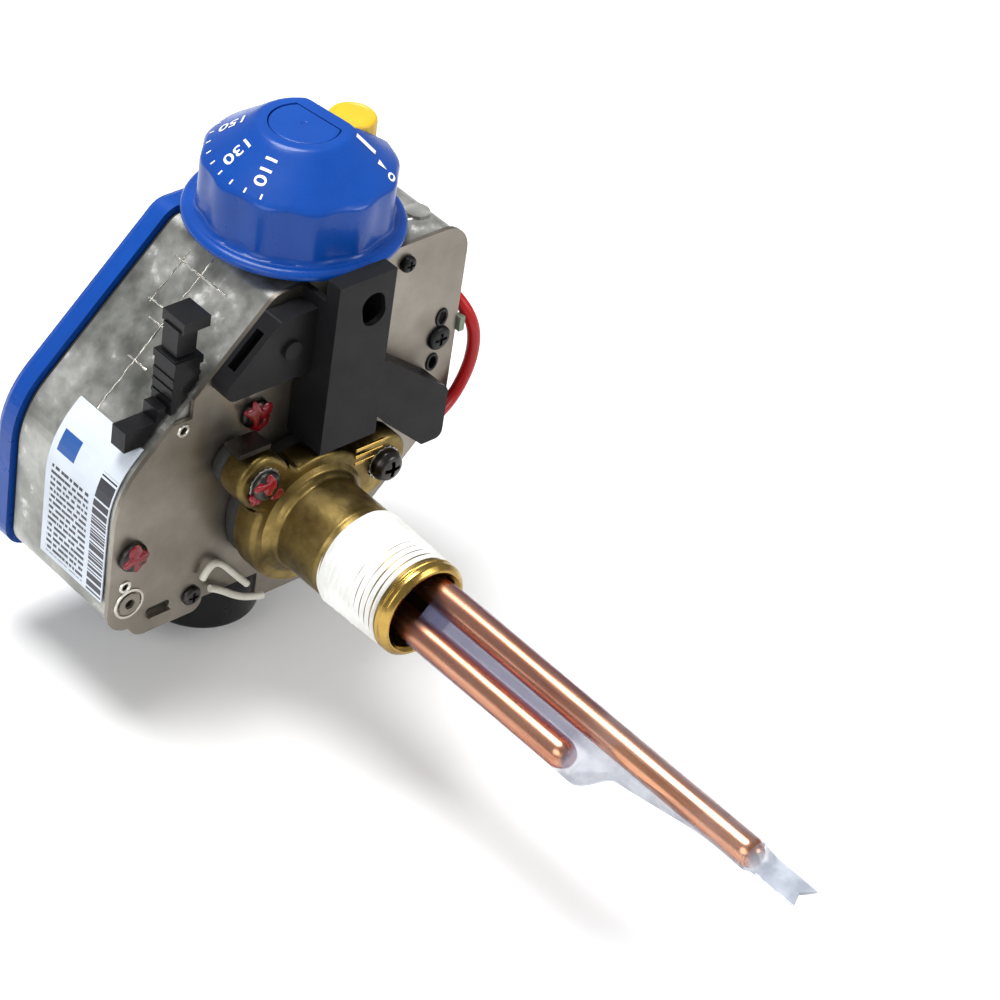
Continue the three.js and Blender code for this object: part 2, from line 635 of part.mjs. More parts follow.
// Closed end of the sleeve over the long tube, pressed flat beyond it into a forked tail.
function sleeveTail() {
  const inner = TUBE_RADIUS + 0.1;
  const outer = inner + SLEEVE_WALL;
  const { end } = LONG_TUBE;
  const shell = turned([
    [inner, SLEEVE_STEP + FIT], [outer, SLEEVE_STEP + FIT], [outer, end - 2], [2.6, end + 1.6],
    [0, end + 2.2], [0, end + 1.4], [2.2, end + 0.9], [inner, end - 2.2], [inner, SLEEVE_STEP + FIT],
  ], 'y', 20);
  const tail = block([-4, end + 3, -0.5], [4, TAIL_END, 0.5]);
  const fork = block([-1.5, TAIL_END - 2.5, -1], [1.5, TAIL_END + 1, 1]);
  const pinch = block([-2, end + 1.2, -0.5], [2, end + 3.2, 0.5]);
  return join(cut(tail, fork), pinch, shell);
}

// ---------------------------------------------------------------- wire guard, connector and leads

const GUARD_WALL = 1.6;
const GUARD_BACK = 0.3;

// Moulded tray that opens toward the plate.
function tray(corners, face) {
  const outside = slab(outline(corners), GUARD_BACK, face);
  const inside = slab(outline(inset(corners, GUARD_WALL)), GUARD_BACK - 1, face - GUARD_WALL);
  return { outside, inside };
}

function wireGuard() {
  const channel = tray([[-16, 15, 0], [1, 15, 0], [1, 75, 0], [-16, 75, 0]], 12.5);
  const left = tray([[-1, 40, 3], [26, 40, 3], [26, 44, 1], [12, 58, 1], [-1, 58, 0]], 6);
  const right = tray([
    [-43, 4.6, 2], [-36.6, 4.6, 1], [-23.2, 16.6, 0], [-20, 20, 1], [-14, 20, 0], [-14, 36, 0],
    [-21, 36, 1.5], [-43, 19.4, 3],
  ], 8);
  const boss = moved(rod(2.5, GUARD_BACK, 7, 'y'), 8, 0, 49);
  const shell = cut(
    join(channel.outside, left.outside, right.outside),
    channel.inside, left.inside, right.inside,
    block([-18, -1, 0], [3, 14, 19.5]),
    block([-20, 8, 67], [3, 14, 80]),
    block([-20, -1, 61], [3, 8, 80]),
  );
  const window = moved(slab(outline([
    [-3.4, -4.6, 3.3], [3.4, -4.6, 3.3], [3.4, 4.6, 3.3], [-3.4, 4.6, 3.3],
  ]), 9, 14).rotate([0, 12, 0]), -10.2, 0, 57.5);
  const slot = block([-5.5, 1.6, -3], [5.5, 4.2, 3]).rotate([0, 45, 0]).translate([19, 0, 51]);
  const roof = block([-16, 8, 67 - GUARD_WALL], [1, 12.5, 67]);
  return cut(join(shell, boss, roof), window, slot);
}

function belowShoulder() {
  const line = SHOULDER + FIT;
  return slab(outline([[-60, -60, 0], [line + 60, -60, 0], [-60, line + 60, 0]]), -60, 20);
}

function connectorBase() {
  const foot = block([36.3, -8.7, 28], [46.6, -3.7, 33.5]);
  const riser = block([35.2, -8.7, 30], [38, -3.7, 37]);
  return cut(join(foot, riser), belowShoulder());
}

function connectorBody() {
  const housing = block([27.5, -9.9, 33], [34.9, -2.5, 50]);
  const ribs = [38, 41, 44].map((z) => block([27.1, -9.9, z], [35.2, -2.5, z + 1]));
  const collar = block([27, -10.3, 47.6], [35.1, -2.1, 49.6]);
  return cut(join(housing, ...ribs, collar), belowShoulder(), block([35.1, -20, 20], [60, 10, 38]));
}

function connectorPlug() {
  return join(block([28.4, -9, 50.3], [34, -3.4, 57.6]), block([25.9, -10.2, 57.2], [33.5, -2.2, 60.2]));
}

const RED_LEAD = [
  [-51.3, -7, 38], [-52.4, -3, 36.4], [-54.7, 0.4, 32], [-56, 1.6, 26], [-55.8, 1.6, 18.5],
  [-53, 2, 12.5], [-49.4, 2.6, 9], [-45.3, 3.6, 8],
];
const WHITE_LEAD_A = [
  [23.4, 2, -14.6], [22.4, 2, -12.4], [20.5, 2, -11.4], [17.6, 2, -14], [14.6, 2, -17.6], [9.7, 2, -22.9],
];
const WHITE_LEAD_B = [[20.8, 2, -19.6], [18.2, 2, -20.8], [13.8, 2, -24.9], [9, 2, -27.6], [4.2, 2, -29]];
const RED_LEAD_RADIUS = 1.7;
const WHITE_LEAD_RADIUS = 0.9;

// ---------------------------------------------------------------- assembly

const valve = new THREE.Group();
valve.name = 'gas_valve';

place(valve, 'valve_body', valveBody(), CASTING);
place(valve, 'back_plate', backPlate(), PLATE);
place(valve, 'front_cover', frontCover(), BLUE);
place(valve, 'body_gasket', bodyGasket(), BLACK);
place(valve, 'cover_screw', coverScrew(), STEEL, [COVER_SCREW.x, 0, COVER_SCREW.z]);
place(valve, 'info_label', infoLabel(), LABEL);
place(valve, 'outlet_stub', outletStub(), CASTING, [OUTLET.x, OUTLET.y, 0]);
place(valve, 'outlet_cap', outletCap(), BLACK, [OUTLET.x, OUTLET.y, 0]);
place(valve, 'inlet_bushing', inletBushing(), BRASS, [0, INLET.y, INLET.z]);
place(valve, 'inlet_screen', rod(INLET_BORE - FIT, -45.6, -44.8, 'x', 24), STEEL, [0, INLET.y, INLET.z]);
place(valve, 'edge_tab', block([-52.4, PLATE_FRONT, 28.7], [-50.8, 1, 32.7]), WHITE);
valve.add(knobGroup());

const SCREW_HEADS = {
  plate_screw_upper: { radius: 4, height: 2.4, reach: 12 },
  plate_screw_side: { radius: 4, height: 2.4, reach: 12 },
  plate_screw_bottom: { radius: 2.7, height: 1.6, reach: 1.1 },
  top_screw: { radius: 2.2, height: 1.8, reach: 8 },
  push_rivet: { radius: 3.3, height: 1.4, reach: 6 },
};
for (const [name, { radius, height, reach }] of Object.entries(SCREW_HEADS)) {
  const { x, z, shank } = PLATE_SCREWS[name];
  place(valve, name, plateScrew(radius, height, shank, reach), DARK_STEEL, [x, 0, z]);
}

place(valve, 'valve_bridge', valveBridge(), CASTING);
place(valve, 'main_valve_disc', mainValveDisc(), BRASS, [OUTLET.x, OUTLET.y, 0]);
place(valve, 'main_valve_spring', spring(4, 0.5, -14.8, -6.3, 4), STEEL, [OUTLET.x, OUTLET.y, 0]);
place(valve, 'safety_magnet', rod(7, 8, 20, 'z', 24), STEEL, [SAFETY.x, SAFETY.y, 0]);
place(valve, 'safety_valve_disc', safetyValveDisc(), STEEL, [SAFETY.x, SAFETY.y, 0]);
place(valve, 'thermostat_lever', thermostatLever(), STEEL);
place(valve, 'lever_pin', rod(1.2, -9, 13, 'x'), STEEL, [0, LEVER.y, LEVER.z]);

place(valve, 'brass_shank', brassShank(), DARK_BRASS);
place(valve, 'thread_sealant', threadSealant(), WHITE);
place(valve, 'flange_gasket', flangeGasket(), BLACK);
const FLANGE_HEADS = {
  flange_screw_left: { height: 2.8, radius: 4 },
  flange_screw_right: { height: 4, radius: 4.3 },
  flange_screw_lower: { height: 2.8, radius: 4 },
};
for (const [name, { height, radius }] of Object.entries(FLANGE_HEADS)) {
  const { x, z } = FLANGE_SCREWS[name];
  place(valve, name, flangeScrew(height, radius), DARK_STEEL, [x, 0, z]);
}
place(valve, 'flange_clip', block([14.5, 4, 25.6], [23.5, 10, 27]), DARK_STEEL);

place(valve, 'probe_header', probeHeader(), BRASS);
place(valve, 'thermostat_tube', probeTube(LONG_TUBE.end), COPPER, [LONG_TUBE.x, 0, LONG_TUBE.z]);
place(valve, 'thermostat_rod', rod(1.5, -7.2, 152, 'y'), STEEL, [LONG_TUBE.x, 0, LONG_TUBE.z]);
place(valve, 'cutoff_tube', probeTube(SHORT_TUBE.end), COPPER, [SHORT_TUBE.x, 0, SHORT_TUBE.z]);
place(valve, 'cutoff_bulb', rod(2.4, 60, 101, 'y'), STEEL, [SHORT_TUBE.x, 0, SHORT_TUBE.z]);
place(valve, 'probe_sleeve', probeSleeve(), CLEAR);
place(valve, 'sleeve_tail', sleeveTail(), CLEAR, [LONG_TUBE.x, 0, LONG_TUBE.z]);

place(valve, 'wire_guard', wireGuard(), CHARCOAL);
place(valve, 'connector_base', connectorBase(), BLACK);
place(valve, 'connector_body', connectorBody(), BLACK);
place(valve, 'connector_plug', connectorPlug(), BLACK);
place(valve, 'red_lead', lead(RED_LEAD, RED_LEAD_RADIUS, 14), RED);
place(valve, 'white_lead_a', lead(WHITE_LEAD_A, WHITE_LEAD_RADIUS, 12), WHITE);
place(valve, 'white_lead_b', lead(WHITE_LEAD_B, WHITE_LEAD_RADIUS, 12), WHITE);

export default valve;
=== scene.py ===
"""Looks of a water heater gas control valve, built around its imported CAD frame.

Lengths are written in millimetres and turned to metres by MM. +Z is up, +Y points into the
tank along the shank, and +X is to the right of a person facing the front cover.
"""

import json
import math
import random

import bmesh
import bpy
from mathutils import Matrix, Vector


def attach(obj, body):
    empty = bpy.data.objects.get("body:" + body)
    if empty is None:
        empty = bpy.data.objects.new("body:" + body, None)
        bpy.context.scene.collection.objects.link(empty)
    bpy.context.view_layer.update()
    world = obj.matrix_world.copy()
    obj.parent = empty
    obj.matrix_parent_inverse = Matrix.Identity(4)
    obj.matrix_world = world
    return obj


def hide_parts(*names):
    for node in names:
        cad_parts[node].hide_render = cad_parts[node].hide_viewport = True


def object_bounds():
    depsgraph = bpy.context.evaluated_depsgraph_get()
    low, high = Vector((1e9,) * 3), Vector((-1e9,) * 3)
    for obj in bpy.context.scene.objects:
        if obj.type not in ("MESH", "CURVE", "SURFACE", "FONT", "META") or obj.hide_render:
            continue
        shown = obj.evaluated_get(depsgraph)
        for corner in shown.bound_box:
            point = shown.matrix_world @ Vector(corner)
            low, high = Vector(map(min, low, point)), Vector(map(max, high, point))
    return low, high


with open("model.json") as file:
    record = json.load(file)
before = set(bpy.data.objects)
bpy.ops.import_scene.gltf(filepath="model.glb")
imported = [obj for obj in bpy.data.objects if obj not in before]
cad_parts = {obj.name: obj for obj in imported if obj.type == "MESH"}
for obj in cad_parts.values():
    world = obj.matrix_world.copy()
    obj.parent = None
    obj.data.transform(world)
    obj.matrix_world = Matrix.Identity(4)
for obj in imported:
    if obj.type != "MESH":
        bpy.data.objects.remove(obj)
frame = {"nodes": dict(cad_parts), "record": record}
cad_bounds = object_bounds()
NODES = frame["nodes"]
MM = 0.001
TAU = math.tau
SHARP = 38  # degrees between faces, above which an edge isn't smoothed
LONG_END = 159.5  # tips of the probe's two tubes, along Y
SHORT_END = 108
FLAT_START = 157.5  # the film begins to flatten here


# ---------------------------------------------------------------- camera, floor and lights

CAMERA_ROLL = math.radians(9.46)
CAMERA_POINT = Vector((473.8, 508.4, 542.4)) * MM
CAMERA_AIM = Vector((-38.1, 35.3, 5.2)) * MM
CAMERA_LENS = 132.55
SENSOR_WIDTH = 36
FLOOR_DROP = 6 * MM
FLOOR_HALF = 3.0  # metres
WORLD_STRENGTH = 0.34
LIGHTS_AIM = (0, 0.03, 0.02)


def make_camera():
    data = bpy.data.cameras.new("camera")
    data.lens = CAMERA_LENS
    data.sensor_width = SENSOR_WIDTH
    camera = bpy.data.objects.new("camera", data)
    bpy.context.collection.objects.link(camera)
    back = (CAMERA_POINT - CAMERA_AIM).normalized()
    level_right = Vector((0, 0, 1)).cross(back).normalized()
    level_up = back.cross(level_right)
    right = level_right * math.cos(CAMERA_ROLL) + level_up * math.sin(CAMERA_ROLL)
    up = back.cross(right)
    turn = Matrix((right, up, back)).transposed()
    camera.matrix_world = Matrix.Translation(CAMERA_POINT) @ turn.to_4x4()
    bpy.context.scene.camera = camera


def area_light(name, place, aim, size, power):
    data = bpy.data.lights.new(name, "AREA")
    data.shape = "DISK"
    data.size = size
    data.energy = power
    light = bpy.data.objects.new(name, data)
    light.location = place
    direction = Vector(aim) - Vector(place)
    light.rotation_euler = direction.to_track_quat("-Z", "Y").to_euler()
    bpy.context.collection.objects.link(light)


def make_stage():
    low, _ = cad_bounds
    level = low[2] - FLOOR_DROP
    mesh = bpy.data.meshes.new("floor")
    signs = ((-1, -1), (1, -1), (1, 1), (-1, 1))
    corners = [(FLOOR_HALF * a, FLOOR_HALF * b, level) for a, b in signs]
    mesh.from_pydata(corners, [], [(0, 1, 2, 3)])
    floor = bpy.data.objects.new("floor", mesh)
    bpy.context.collection.objects.link(floor)
    pale = bpy.data.materials.new("floor_pale")
    pale.use_nodes = True
    shader = pale.node_tree.nodes["Principled BSDF"]
    shader.inputs["Base Color"].default_value = (0.92, 0.92, 0.92, 1)
    shader.inputs["Roughness"].default_value = 0.9
    mesh.materials.append(pale)
    world = bpy.data.worlds.new("studio")
    world.use_nodes = True
    background = world.node_tree.nodes["Background"]
    background.inputs["Color"].default_value = (1, 1, 1, 1)
    background.inputs["Strength"].default_value = WORLD_STRENGTH
    bpy.context.scene.world = world
    area_light("key", (0.05, -0.25, 0.95), LIGHTS_AIM, 0.55, 11.5)
    area_light("fill", (0.9, 0.2, 0.5), LIGHTS_AIM, 0.7, 4)
    area_light("side", (-0.5, 0.8, 0.5), LIGHTS_AIM, 0.5, 4)
    bpy.context.scene.view_settings.view_transform = "Standard"


make_camera()
make_stage()


# ---------------------------------------------------------------- materials


class Nodes:
    """Short calls for the nodes of one material."""

    def __init__(self, name):
        self.material = bpy.data.materials.new(name)
        self.material.use_nodes = True
        self.tree = self.material.node_tree
        self.shader = self.tree.nodes["Principled BSDF"]
        self.place = self.tree.nodes.new("ShaderNodeTexCoord").outputs["Object"]

    def add(self, kind, inputs=(), **settings):
        node = self.tree.nodes.new("ShaderNode" + kind)
        for key, value in settings.items():
            setattr(node, key, value)
        for key, value in dict(inputs).items():
            self.feed(node.inputs[key], value)
        return node

    def feed(self, socket, value):
        if isinstance(value, bpy.types.NodeSocket):
            self.tree.links.new(value, socket)
        else:
            socket.default_value = value

    def set(self, **values):
        for key, value in values.items():
            self.feed(self.shader.inputs[key.replace("_", " ")], value)

    def stretched(self, scale):
        return self.add("Mapping", {"Vector": self.place, "Scale": scale}).outputs["Vector"]

    def noise(self, scale, detail=3, rough=0.55, place=None):
        inputs = {"Vector": place or self.place, "Scale": scale, "Detail": detail, "Roughness": rough}
        return self.add("TexNoise", inputs).outputs["Fac"]

    def ramp(self, value, stops):
        node = self.add("ValToRGB", {"Fac": value})
        elements = node.color_ramp.elements
        while len(elements) < len(stops):
            elements.new(0.5)
        for element, (at, colour) in zip(elements, stops):
            element.position = at
            element.color = (*colour, 1) if len(colour) == 3 else colour
        return node.outputs["Color"]

    def span(self, value, low, high, start=0.3, end=0.7):
        inputs = {"Value": value, "From Min": start, "From Max": end, "To Min": low, "To Max": high}
        return self.add("MapRange", inputs).outputs["Result"]

    def mix(self, factor, first, second, blend="MIX"):
        node = self.add("Mix", data_type="RGBA", blend_type=blend)
        sockets = (node.inputs[0], node.inputs[6], node.inputs[7])
        for socket, value in zip(sockets, (factor, first, second)):
            if isinstance(value, tuple) and len(value) == 3:
                value = (*value, 1)
            self.feed(socket, value)
        return node.outputs[2]

    def math(self, operation, first, second=0.5):
        node = self.add("Math", operation=operation)
        self.feed(node.inputs[0], first)
        self.feed(node.inputs[1], second)
        return node.outputs[0]

    def bump(self, height, distance, strength=1.0, below=None):
        inputs = {"Height": height, "Distance": distance, "Strength": strength}
        if below:
            inputs["Normal"] = below
        return self.add("Bump", inputs).outputs["Normal"]


def grime(nodes, colour, darker, scale=60):
    """Colour with soft cloudy changes towards a darker one."""
    return nodes.mix(nodes.span(nodes.noise(scale, 5), 0, 1, 0.35, 0.75), colour, darker)


def plastic(name, colour, darker, rough=(0.3, 0.42), grain=900, depth=0.02, coat=0.0, shine=0.5):
    """Moulded plastic with a fine grain and faint flow clouds."""
    nodes = Nodes(name)
    fine = nodes.noise(grain, 2)
    nodes.set(
        Base_Color=grime(nodes, colour, darker, 45),
        Roughness=nodes.span(nodes.noise(120, 4), *rough),
        Normal=nodes.bump(fine, depth * MM, 0.6),
        Coat_Weight=coat,
        Coat_Roughness=0.12,
        Specular_IOR_Level=shine,
    )
    return nodes.material


def metal(name, colour, darker, rough=(0.25, 0.45), scale=80, grain=700, depth=0.03, stretch=(1, 1, 1)):
    """Metal with cloudy tarnish and a fine surface that may be drawn out one way."""
    nodes = Nodes(name)
    drawn = nodes.stretched(stretch)
    fine = nodes.noise(grain, 3, 0.6, drawn)
    clouds = nodes.noise(scale, 6, 0.6, drawn)
    nodes.set(
        Base_Color=nodes.mix(nodes.span(clouds, 0, 1, 0.35, 0.72), colour, darker),
        Metallic=1.0,
        Roughness=nodes.span(nodes.noise(scale * 2.3, 4), *rough),
        Normal=nodes.bump(fine, depth * MM, 0.7),
    )
    return nodes.material


def cast_alloy():
    """As-cast zinc-aluminium: mottled grey, with shallow lumps and bright near-white spots, which are
    painted highlights.
    """
    nodes = Nodes("cast_alloy")
    broad = nodes.noise(38, 6, 0.62)
    blotch = nodes.noise(150, 5, 0.6)
    greys = [(0.34, (0.15, 0.155, 0.14)), (0.5, (0.33, 0.335, 0.31)), (0.66, (0.60, 0.60, 0.57))]
    colour = nodes.ramp(broad, greys)
    # The near-white spots scattered by the blotch noise are painted highlights.
    bright = nodes.span(blotch, 0, 1, 0.6, 0.72)
    lumps = nodes.bump(nodes.noise(95, 5), 0.25 * MM, 0.5)
    nodes.set(
        Base_Color=nodes.mix(bright, colour, (0.78, 0.78, 0.75)),
        Metallic=0.85,
        Roughness=nodes.span(blotch, 0.32, 0.55),
        Normal=nodes.bump(nodes.noise(620, 4), 0.05 * MM, 0.6, lumps),
    )
    return nodes.material


def plate_steel():
    """Plated sheet: warm brown-grey, rubbed along one way, cloudy sheen."""
    nodes = Nodes("plate_steel")
    rubbed = nodes.stretched((1, 1, 0.25))
    clouds = nodes.noise(30, 6, 0.6)
    browns = [(0.3, (0.16, 0.14, 0.115)), (0.55, (0.25, 0.225, 0.19)), (0.75, (0.36, 0.33, 0.285))]
    colour = nodes.ramp(clouds, browns)
    scratch = nodes.noise(420, 5, 0.7, rubbed)
    nodes.set(
        Base_Color=colour,
        Metallic=0.9,
        Roughness=nodes.span(nodes.noise(90, 5), 0.28, 0.48),
        Normal=nodes.bump(scratch, 0.02 * MM, 0.5),
    )
    return nodes.material


def brass_cast():
    """Sand-cast brass: olive and gold blotches over a grainy skin."""
    nodes = Nodes("brass_cast")
    clouds = nodes.noise(70, 6, 0.62)
    golds = [(0.34, (0.07, 0.05, 0.016)), (0.54, (0.21, 0.15, 0.05)), (0.74, (0.46, 0.34, 0.13))]
    colour = nodes.ramp(clouds, golds)
    lumps = nodes.bump(nodes.noise(160, 4), 0.18 * MM, 0.5)
    nodes.set(
        Base_Color=colour,
        Metallic=1.0,
        Roughness=nodes.span(nodes.noise(200, 5), 0.3, 0.5),
        Normal=nodes.bump(nodes.noise(1100, 3), 0.05 * MM, 0.7, lumps),
    )
    return nodes.material


def copper():
    """Drawn copper with heat colours and fine lines along the tube; the lines also lay bright streaks
    of copper colour along it, which are painted highlights.
    """
    nodes = Nodes("copper_tube")
    drawn = nodes.stretched((1, 0.05, 1))
    line_and_highlight_streaks = nodes.noise(520, 5, 0.65, drawn)
    heat = nodes.noise(26, 4, 0.6)
    base = nodes.mix(nodes.span(heat, 0, 1, 0.35, 0.7), (0.62, 0.25, 0.13), (0.34, 0.11, 0.065))
    nodes.set(
        # The bright copper colour along the streaks is painted highlight; the streaks' bump is the
        # drawn lines.
        Base_Color=nodes.mix(nodes.span(line_and_highlight_streaks, 0, 0.6), base, (0.90, 0.52, 0.33)),
        Metallic=1.0,
        Specular_Tint=(0.40, 0.16, 0.10, 1),
        Roughness=nodes.span(heat, 0.20, 0.34),
        Normal=nodes.bump(line_and_highlight_streaks, 0.03 * MM, 0.7),
    )
    return nodes.material


def clear_film():
    """Clear shrink film: bluish at its edges, milky where it spans a gap past the short tube and where
    it lies flat; dark blue-grey and denser across the gap between the two tubes, as painted shade of
    that gap.
    """
    nodes = Nodes("clear_film")
    crease = nodes.noise(220, 4, 0.6, nodes.stretched((1, 0.35, 1)))
    place = nodes.add("SeparateXYZ", {"Vector": nodes.place}).outputs
    along = place["Y"]
    across = nodes.math("SUBTRACT", place["X"], place["Z"])
    edge = nodes.add("LayerWeight", {"Blend": 0.5}).outputs["Facing"]
    skin = nodes.math("ADD", nodes.span(edge, 0.04, 0.5, 0.3, 0.95), nodes.span(crease, 0, 0.08))
    # The web mask makes the film denser across the gap between the tubes and on the web past the short
    # tube; across the gap, with the dark base colour, it is painted shade of that gap.
    past_long = nodes.span(across, 0, 0.55, -4.2 * MM, -2.4 * MM)
    short_side = nodes.span(across, 0, 1, 0.4 * MM, 2 * MM)
    before_tip = nodes.span(along, 1, 0, (SHORT_END - 1) * MM, (SHORT_END + 1) * MM)
    over_short = nodes.math("MULTIPLY", short_side, before_tip)
    film_web_and_gap_shade = nodes.math("MULTIPLY", past_long, nodes.math("SUBTRACT", 1, over_short))
    flat = nodes.span(along, 0, 0.75, FLAT_START * MM, (FLAT_START + 3.5) * MM)
    milky = nodes.span(along, 0, 1, 106 * MM, 112 * MM)
    clouded = grime(nodes, (0.34, 0.37, 0.44), (0.62, 0.66, 0.74), 160)
    nodes.set(
        # The dark blue-grey base, used until the film turns milky, is painted shade: it darkens the gap
        # between the tubes.
        Base_Color=nodes.mix(milky, (0.13, 0.13, 0.22), clouded),
        Roughness=nodes.span(crease, 0.04, 0.14),
        Normal=nodes.bump(crease, 0.12 * MM, 0.8),
        Alpha=nodes.math("ADD", skin, nodes.math("MAXIMUM", film_web_and_gap_shade, flat)),
        IOR=1.5,
    )
    nodes.material.surface_render_method = "BLENDED"
    return nodes.material


def thread_sealant():
    """Matt white sealing tape, with faint grey in soft random clouds."""
    nodes = Nodes("sealant")
    fine = nodes.noise(500, 4, 0.6, nodes.stretched((1, 3, 1)))
    nodes.set(
        Base_Color=grime(nodes, (0.90, 0.90, 0.88), (0.70, 0.70, 0.67), 140),
        Roughness=nodes.span(fine, 0.45, 0.65),
        Normal=nodes.bump(fine, 0.05 * MM, 0.7),
        Subsurface_Weight=0.05,
    )
    return nodes.material


def label_film():
    """Pale label: a stripe of bars by the plate, rows of short dark marks and one blue panel."""
    nodes = Nodes("label_film")
    split = nodes.add("SeparateXYZ", {"Vector": nodes.place})
    along, up = split.outputs["Y"], split.outputs["Z"]

    def between(value, low, high):
        above = nodes.math("GREATER_THAN", value, low * MM)
        return nodes.math("MULTIPLY", above, nodes.math("LESS_THAN", value, high * MM))

    def both(*masks):
        total = masks[0]
        for mask in masks[1:]:
            total = nodes.math("MULTIPLY", total, mask)
        return total

    bar_place = nodes.add("CombineXYZ", {"Z": up}).outputs["Vector"]
    bars = nodes.math("GREATER_THAN", nodes.noise(1300, 0, 0.5, bar_place), 0.46)
    bars = both(bars, between(along, -9, -3.4), between(up, -13.6, 20))
    row = nodes.math("MULTIPLY", up, 1 / (1.7 * MM))
    in_row = nodes.math("LESS_THAN", nodes.math("FRACT", row), 0.5)
    word_place = nodes.add("CombineXYZ", {"Y": along, "Z": nodes.math("FLOOR", row)}).outputs["Vector"]
    words = nodes.math("GREATER_THAN", nodes.noise(900, 1, 0.5, word_place), 0.44)
    words = both(words, in_row, between(along, -25, -10.6), between(up, -13, 13))
    panel = both(between(along, -25, -18.4), between(up, 16.4, 21.6))
    paper = grime(nodes, (0.66, 0.72, 0.80), (0.52, 0.57, 0.64), 50)
    inked = nodes.mix(nodes.math("MAXIMUM", bars, words), paper, (0.02, 0.02, 0.03))
    nodes.set(
        Base_Color=nodes.mix(panel, inked, (0.02, 0.09, 0.32)),
        Roughness=nodes.span(nodes.noise(200), 0.28, 0.4),
        Normal=nodes.bump(nodes.noise(300, 3), 0.02 * MM, 0.5),
    )
    return nodes.material


BLUE = plastic(
    "knob_blue", (0.004, 0.062, 0.34), (0.003, 0.045, 0.26), (0.24, 0.36), 800, 0.015, 0.18, 0.2
)
YELLOW = plastic("button_yellow", (0.74, 0.50, 0.02), (0.60, 0.38, 0.012), (0.35, 0.48), 800)
BLACK = plastic(
    "black_plastic", (0.006, 0.006, 0.007), (0.011, 0.011, 0.012), (0.26, 0.40), 900, 0.03, shine=0.2
)
CHARCOAL = plastic(
    "guard_plastic", (0.007, 0.007, 0.008), (0.012, 0.012, 0.013), (0.38, 0.52), 700, 0.04, shine=0.14
)
GREY_TAB = plastic("tab_grey", (0.20, 0.25, 0.18), (0.12, 0.16, 0.11), (0.4, 0.5))
WHITE_INK = plastic("white_ink", (0.85, 0.86, 0.88), (0.74, 0.75, 0.78), (0.4, 0.5))
RED_PAINT = plastic(
    "red_paint", (0.24, 0.004, 0.012), (0.06, 0.002, 0.005), (0.15, 0.28), 400, 0.08, 0.4, 0.3
)
RED_WIRE = plastic(
    "lead_red", (0.46, 0.002, 0.004), (0.30, 0.001, 0.003), (0.3, 0.42), 600, shine=0.35
)
WHITE_WIRE = plastic("lead_white", (0.72, 0.70, 0.62), (0.52, 0.50, 0.42), (0.4, 0.55), 600)
GASKET = plastic("gasket", (0.014, 0.014, 0.014), (0.03, 0.03, 0.028), (0.6, 0.8), 500, 0.06)
STEEL = metal("steel", (0.46, 0.46, 0.45), (0.28, 0.28, 0.27))
# Bright metal on the plate's rounded edges, the casting's raised lines and the hole rims: painted
# highlights along those edges.
EDGE_HIGHLIGHT_METAL = metal("painted_edge_highlight", (0.72, 0.70, 0.64), (0.45, 0.43, 0.38), (0.2, 0.36))
DARK_STEEL = metal("fastener_dark", (0.07, 0.066, 0.062), (0.028, 0.026, 0.025), (0.25, 0.42))
BRIGHT_BRASS = metal(
    "brass_bright", (0.52, 0.34, 0.09), (0.28, 0.17, 0.04), (0.16, 0.32), 120, 500, 0.02
)
CAST_ALLOY = cast_alloy()
PLATE_STEEL = plate_steel()
BRASS = brass_cast()
COPPER = copper()
FILM = clear_film()
SEALANT = thread_sealant()
LABEL = label_film()

SLOT_MATERIALS = {
    "knob_blue": BLUE, "button_yellow": YELLOW, "cast_alloy": CAST_ALLOY, "plate_steel": PLATE_STEEL,
    "brass_cast": BRASS, "brass_bright": BRIGHT_BRASS, "steel": STEEL, "fastener_dark": DARK_STEEL,
    "copper_tube": COPPER, "black_plastic": BLACK, "guard_plastic": CHARCOAL, "sealant": SEALANT,
    "gasket": GASKET, "clear_film": FILM, "lead_red": RED_WIRE, "lead_white": WHITE_WIRE,
    "label_film": LABEL, "tab_grey": GREY_TAB,
}


# ---------------------------------------------------------------- mesh helpers

AXES = {
    "x": Matrix(((0, 0, 1), (1, 0, 0), (0, 1, 0))),
    "y": Matrix(((1, 0, 0), (0, 0, 1), (0, -1, 0))),
    "z": Matrix.Identity(3),
}


def to_object(name, bm, sharp=SHARP):
    bmesh.ops.remove_doubles(bm, verts=bm.verts, dist=1e-6)
    bmesh.ops.recalc_face_normals(bm, faces=bm.faces)
    mesh = bpy.data.meshes.new(name)
    bm.to_mesh(mesh)
    bm.free()
    piece = bpy.data.objects.new(name, mesh)
    bpy.context.collection.objects.link(piece)
    smooth(piece, sharp)
    return piece


def smooth(piece, sharp=SHARP):
    piece.data.shade_smooth()
    piece.data.set_sharp_from_angle(angle=math.radians(sharp))


def rounded(profile, steps=5):
    """Profile of (radius, height, rounding) points, with each rounded corner as a small curve."""
    points = []
    for i, (r, h, rounding) in enumerate(profile):
        here = Vector((r, h))
        if not rounding or i in (0, len(profile) - 1):
            points.append(here)
            continue
        before = Vector(profile[i - 1][:2]) - here
        after = Vector(profile[i + 1][:2]) - here
        start = here + before.normalized() * min(rounding, before.length * 0.49)
        end = here + after.normalized() * min(rounding, after.length * 0.49)
        for k in range(steps + 1):
            t = k / steps
            points.append(start * (1 - t) ** 2 + here * 2 * t * (1 - t) + end * t ** 2)
    return points


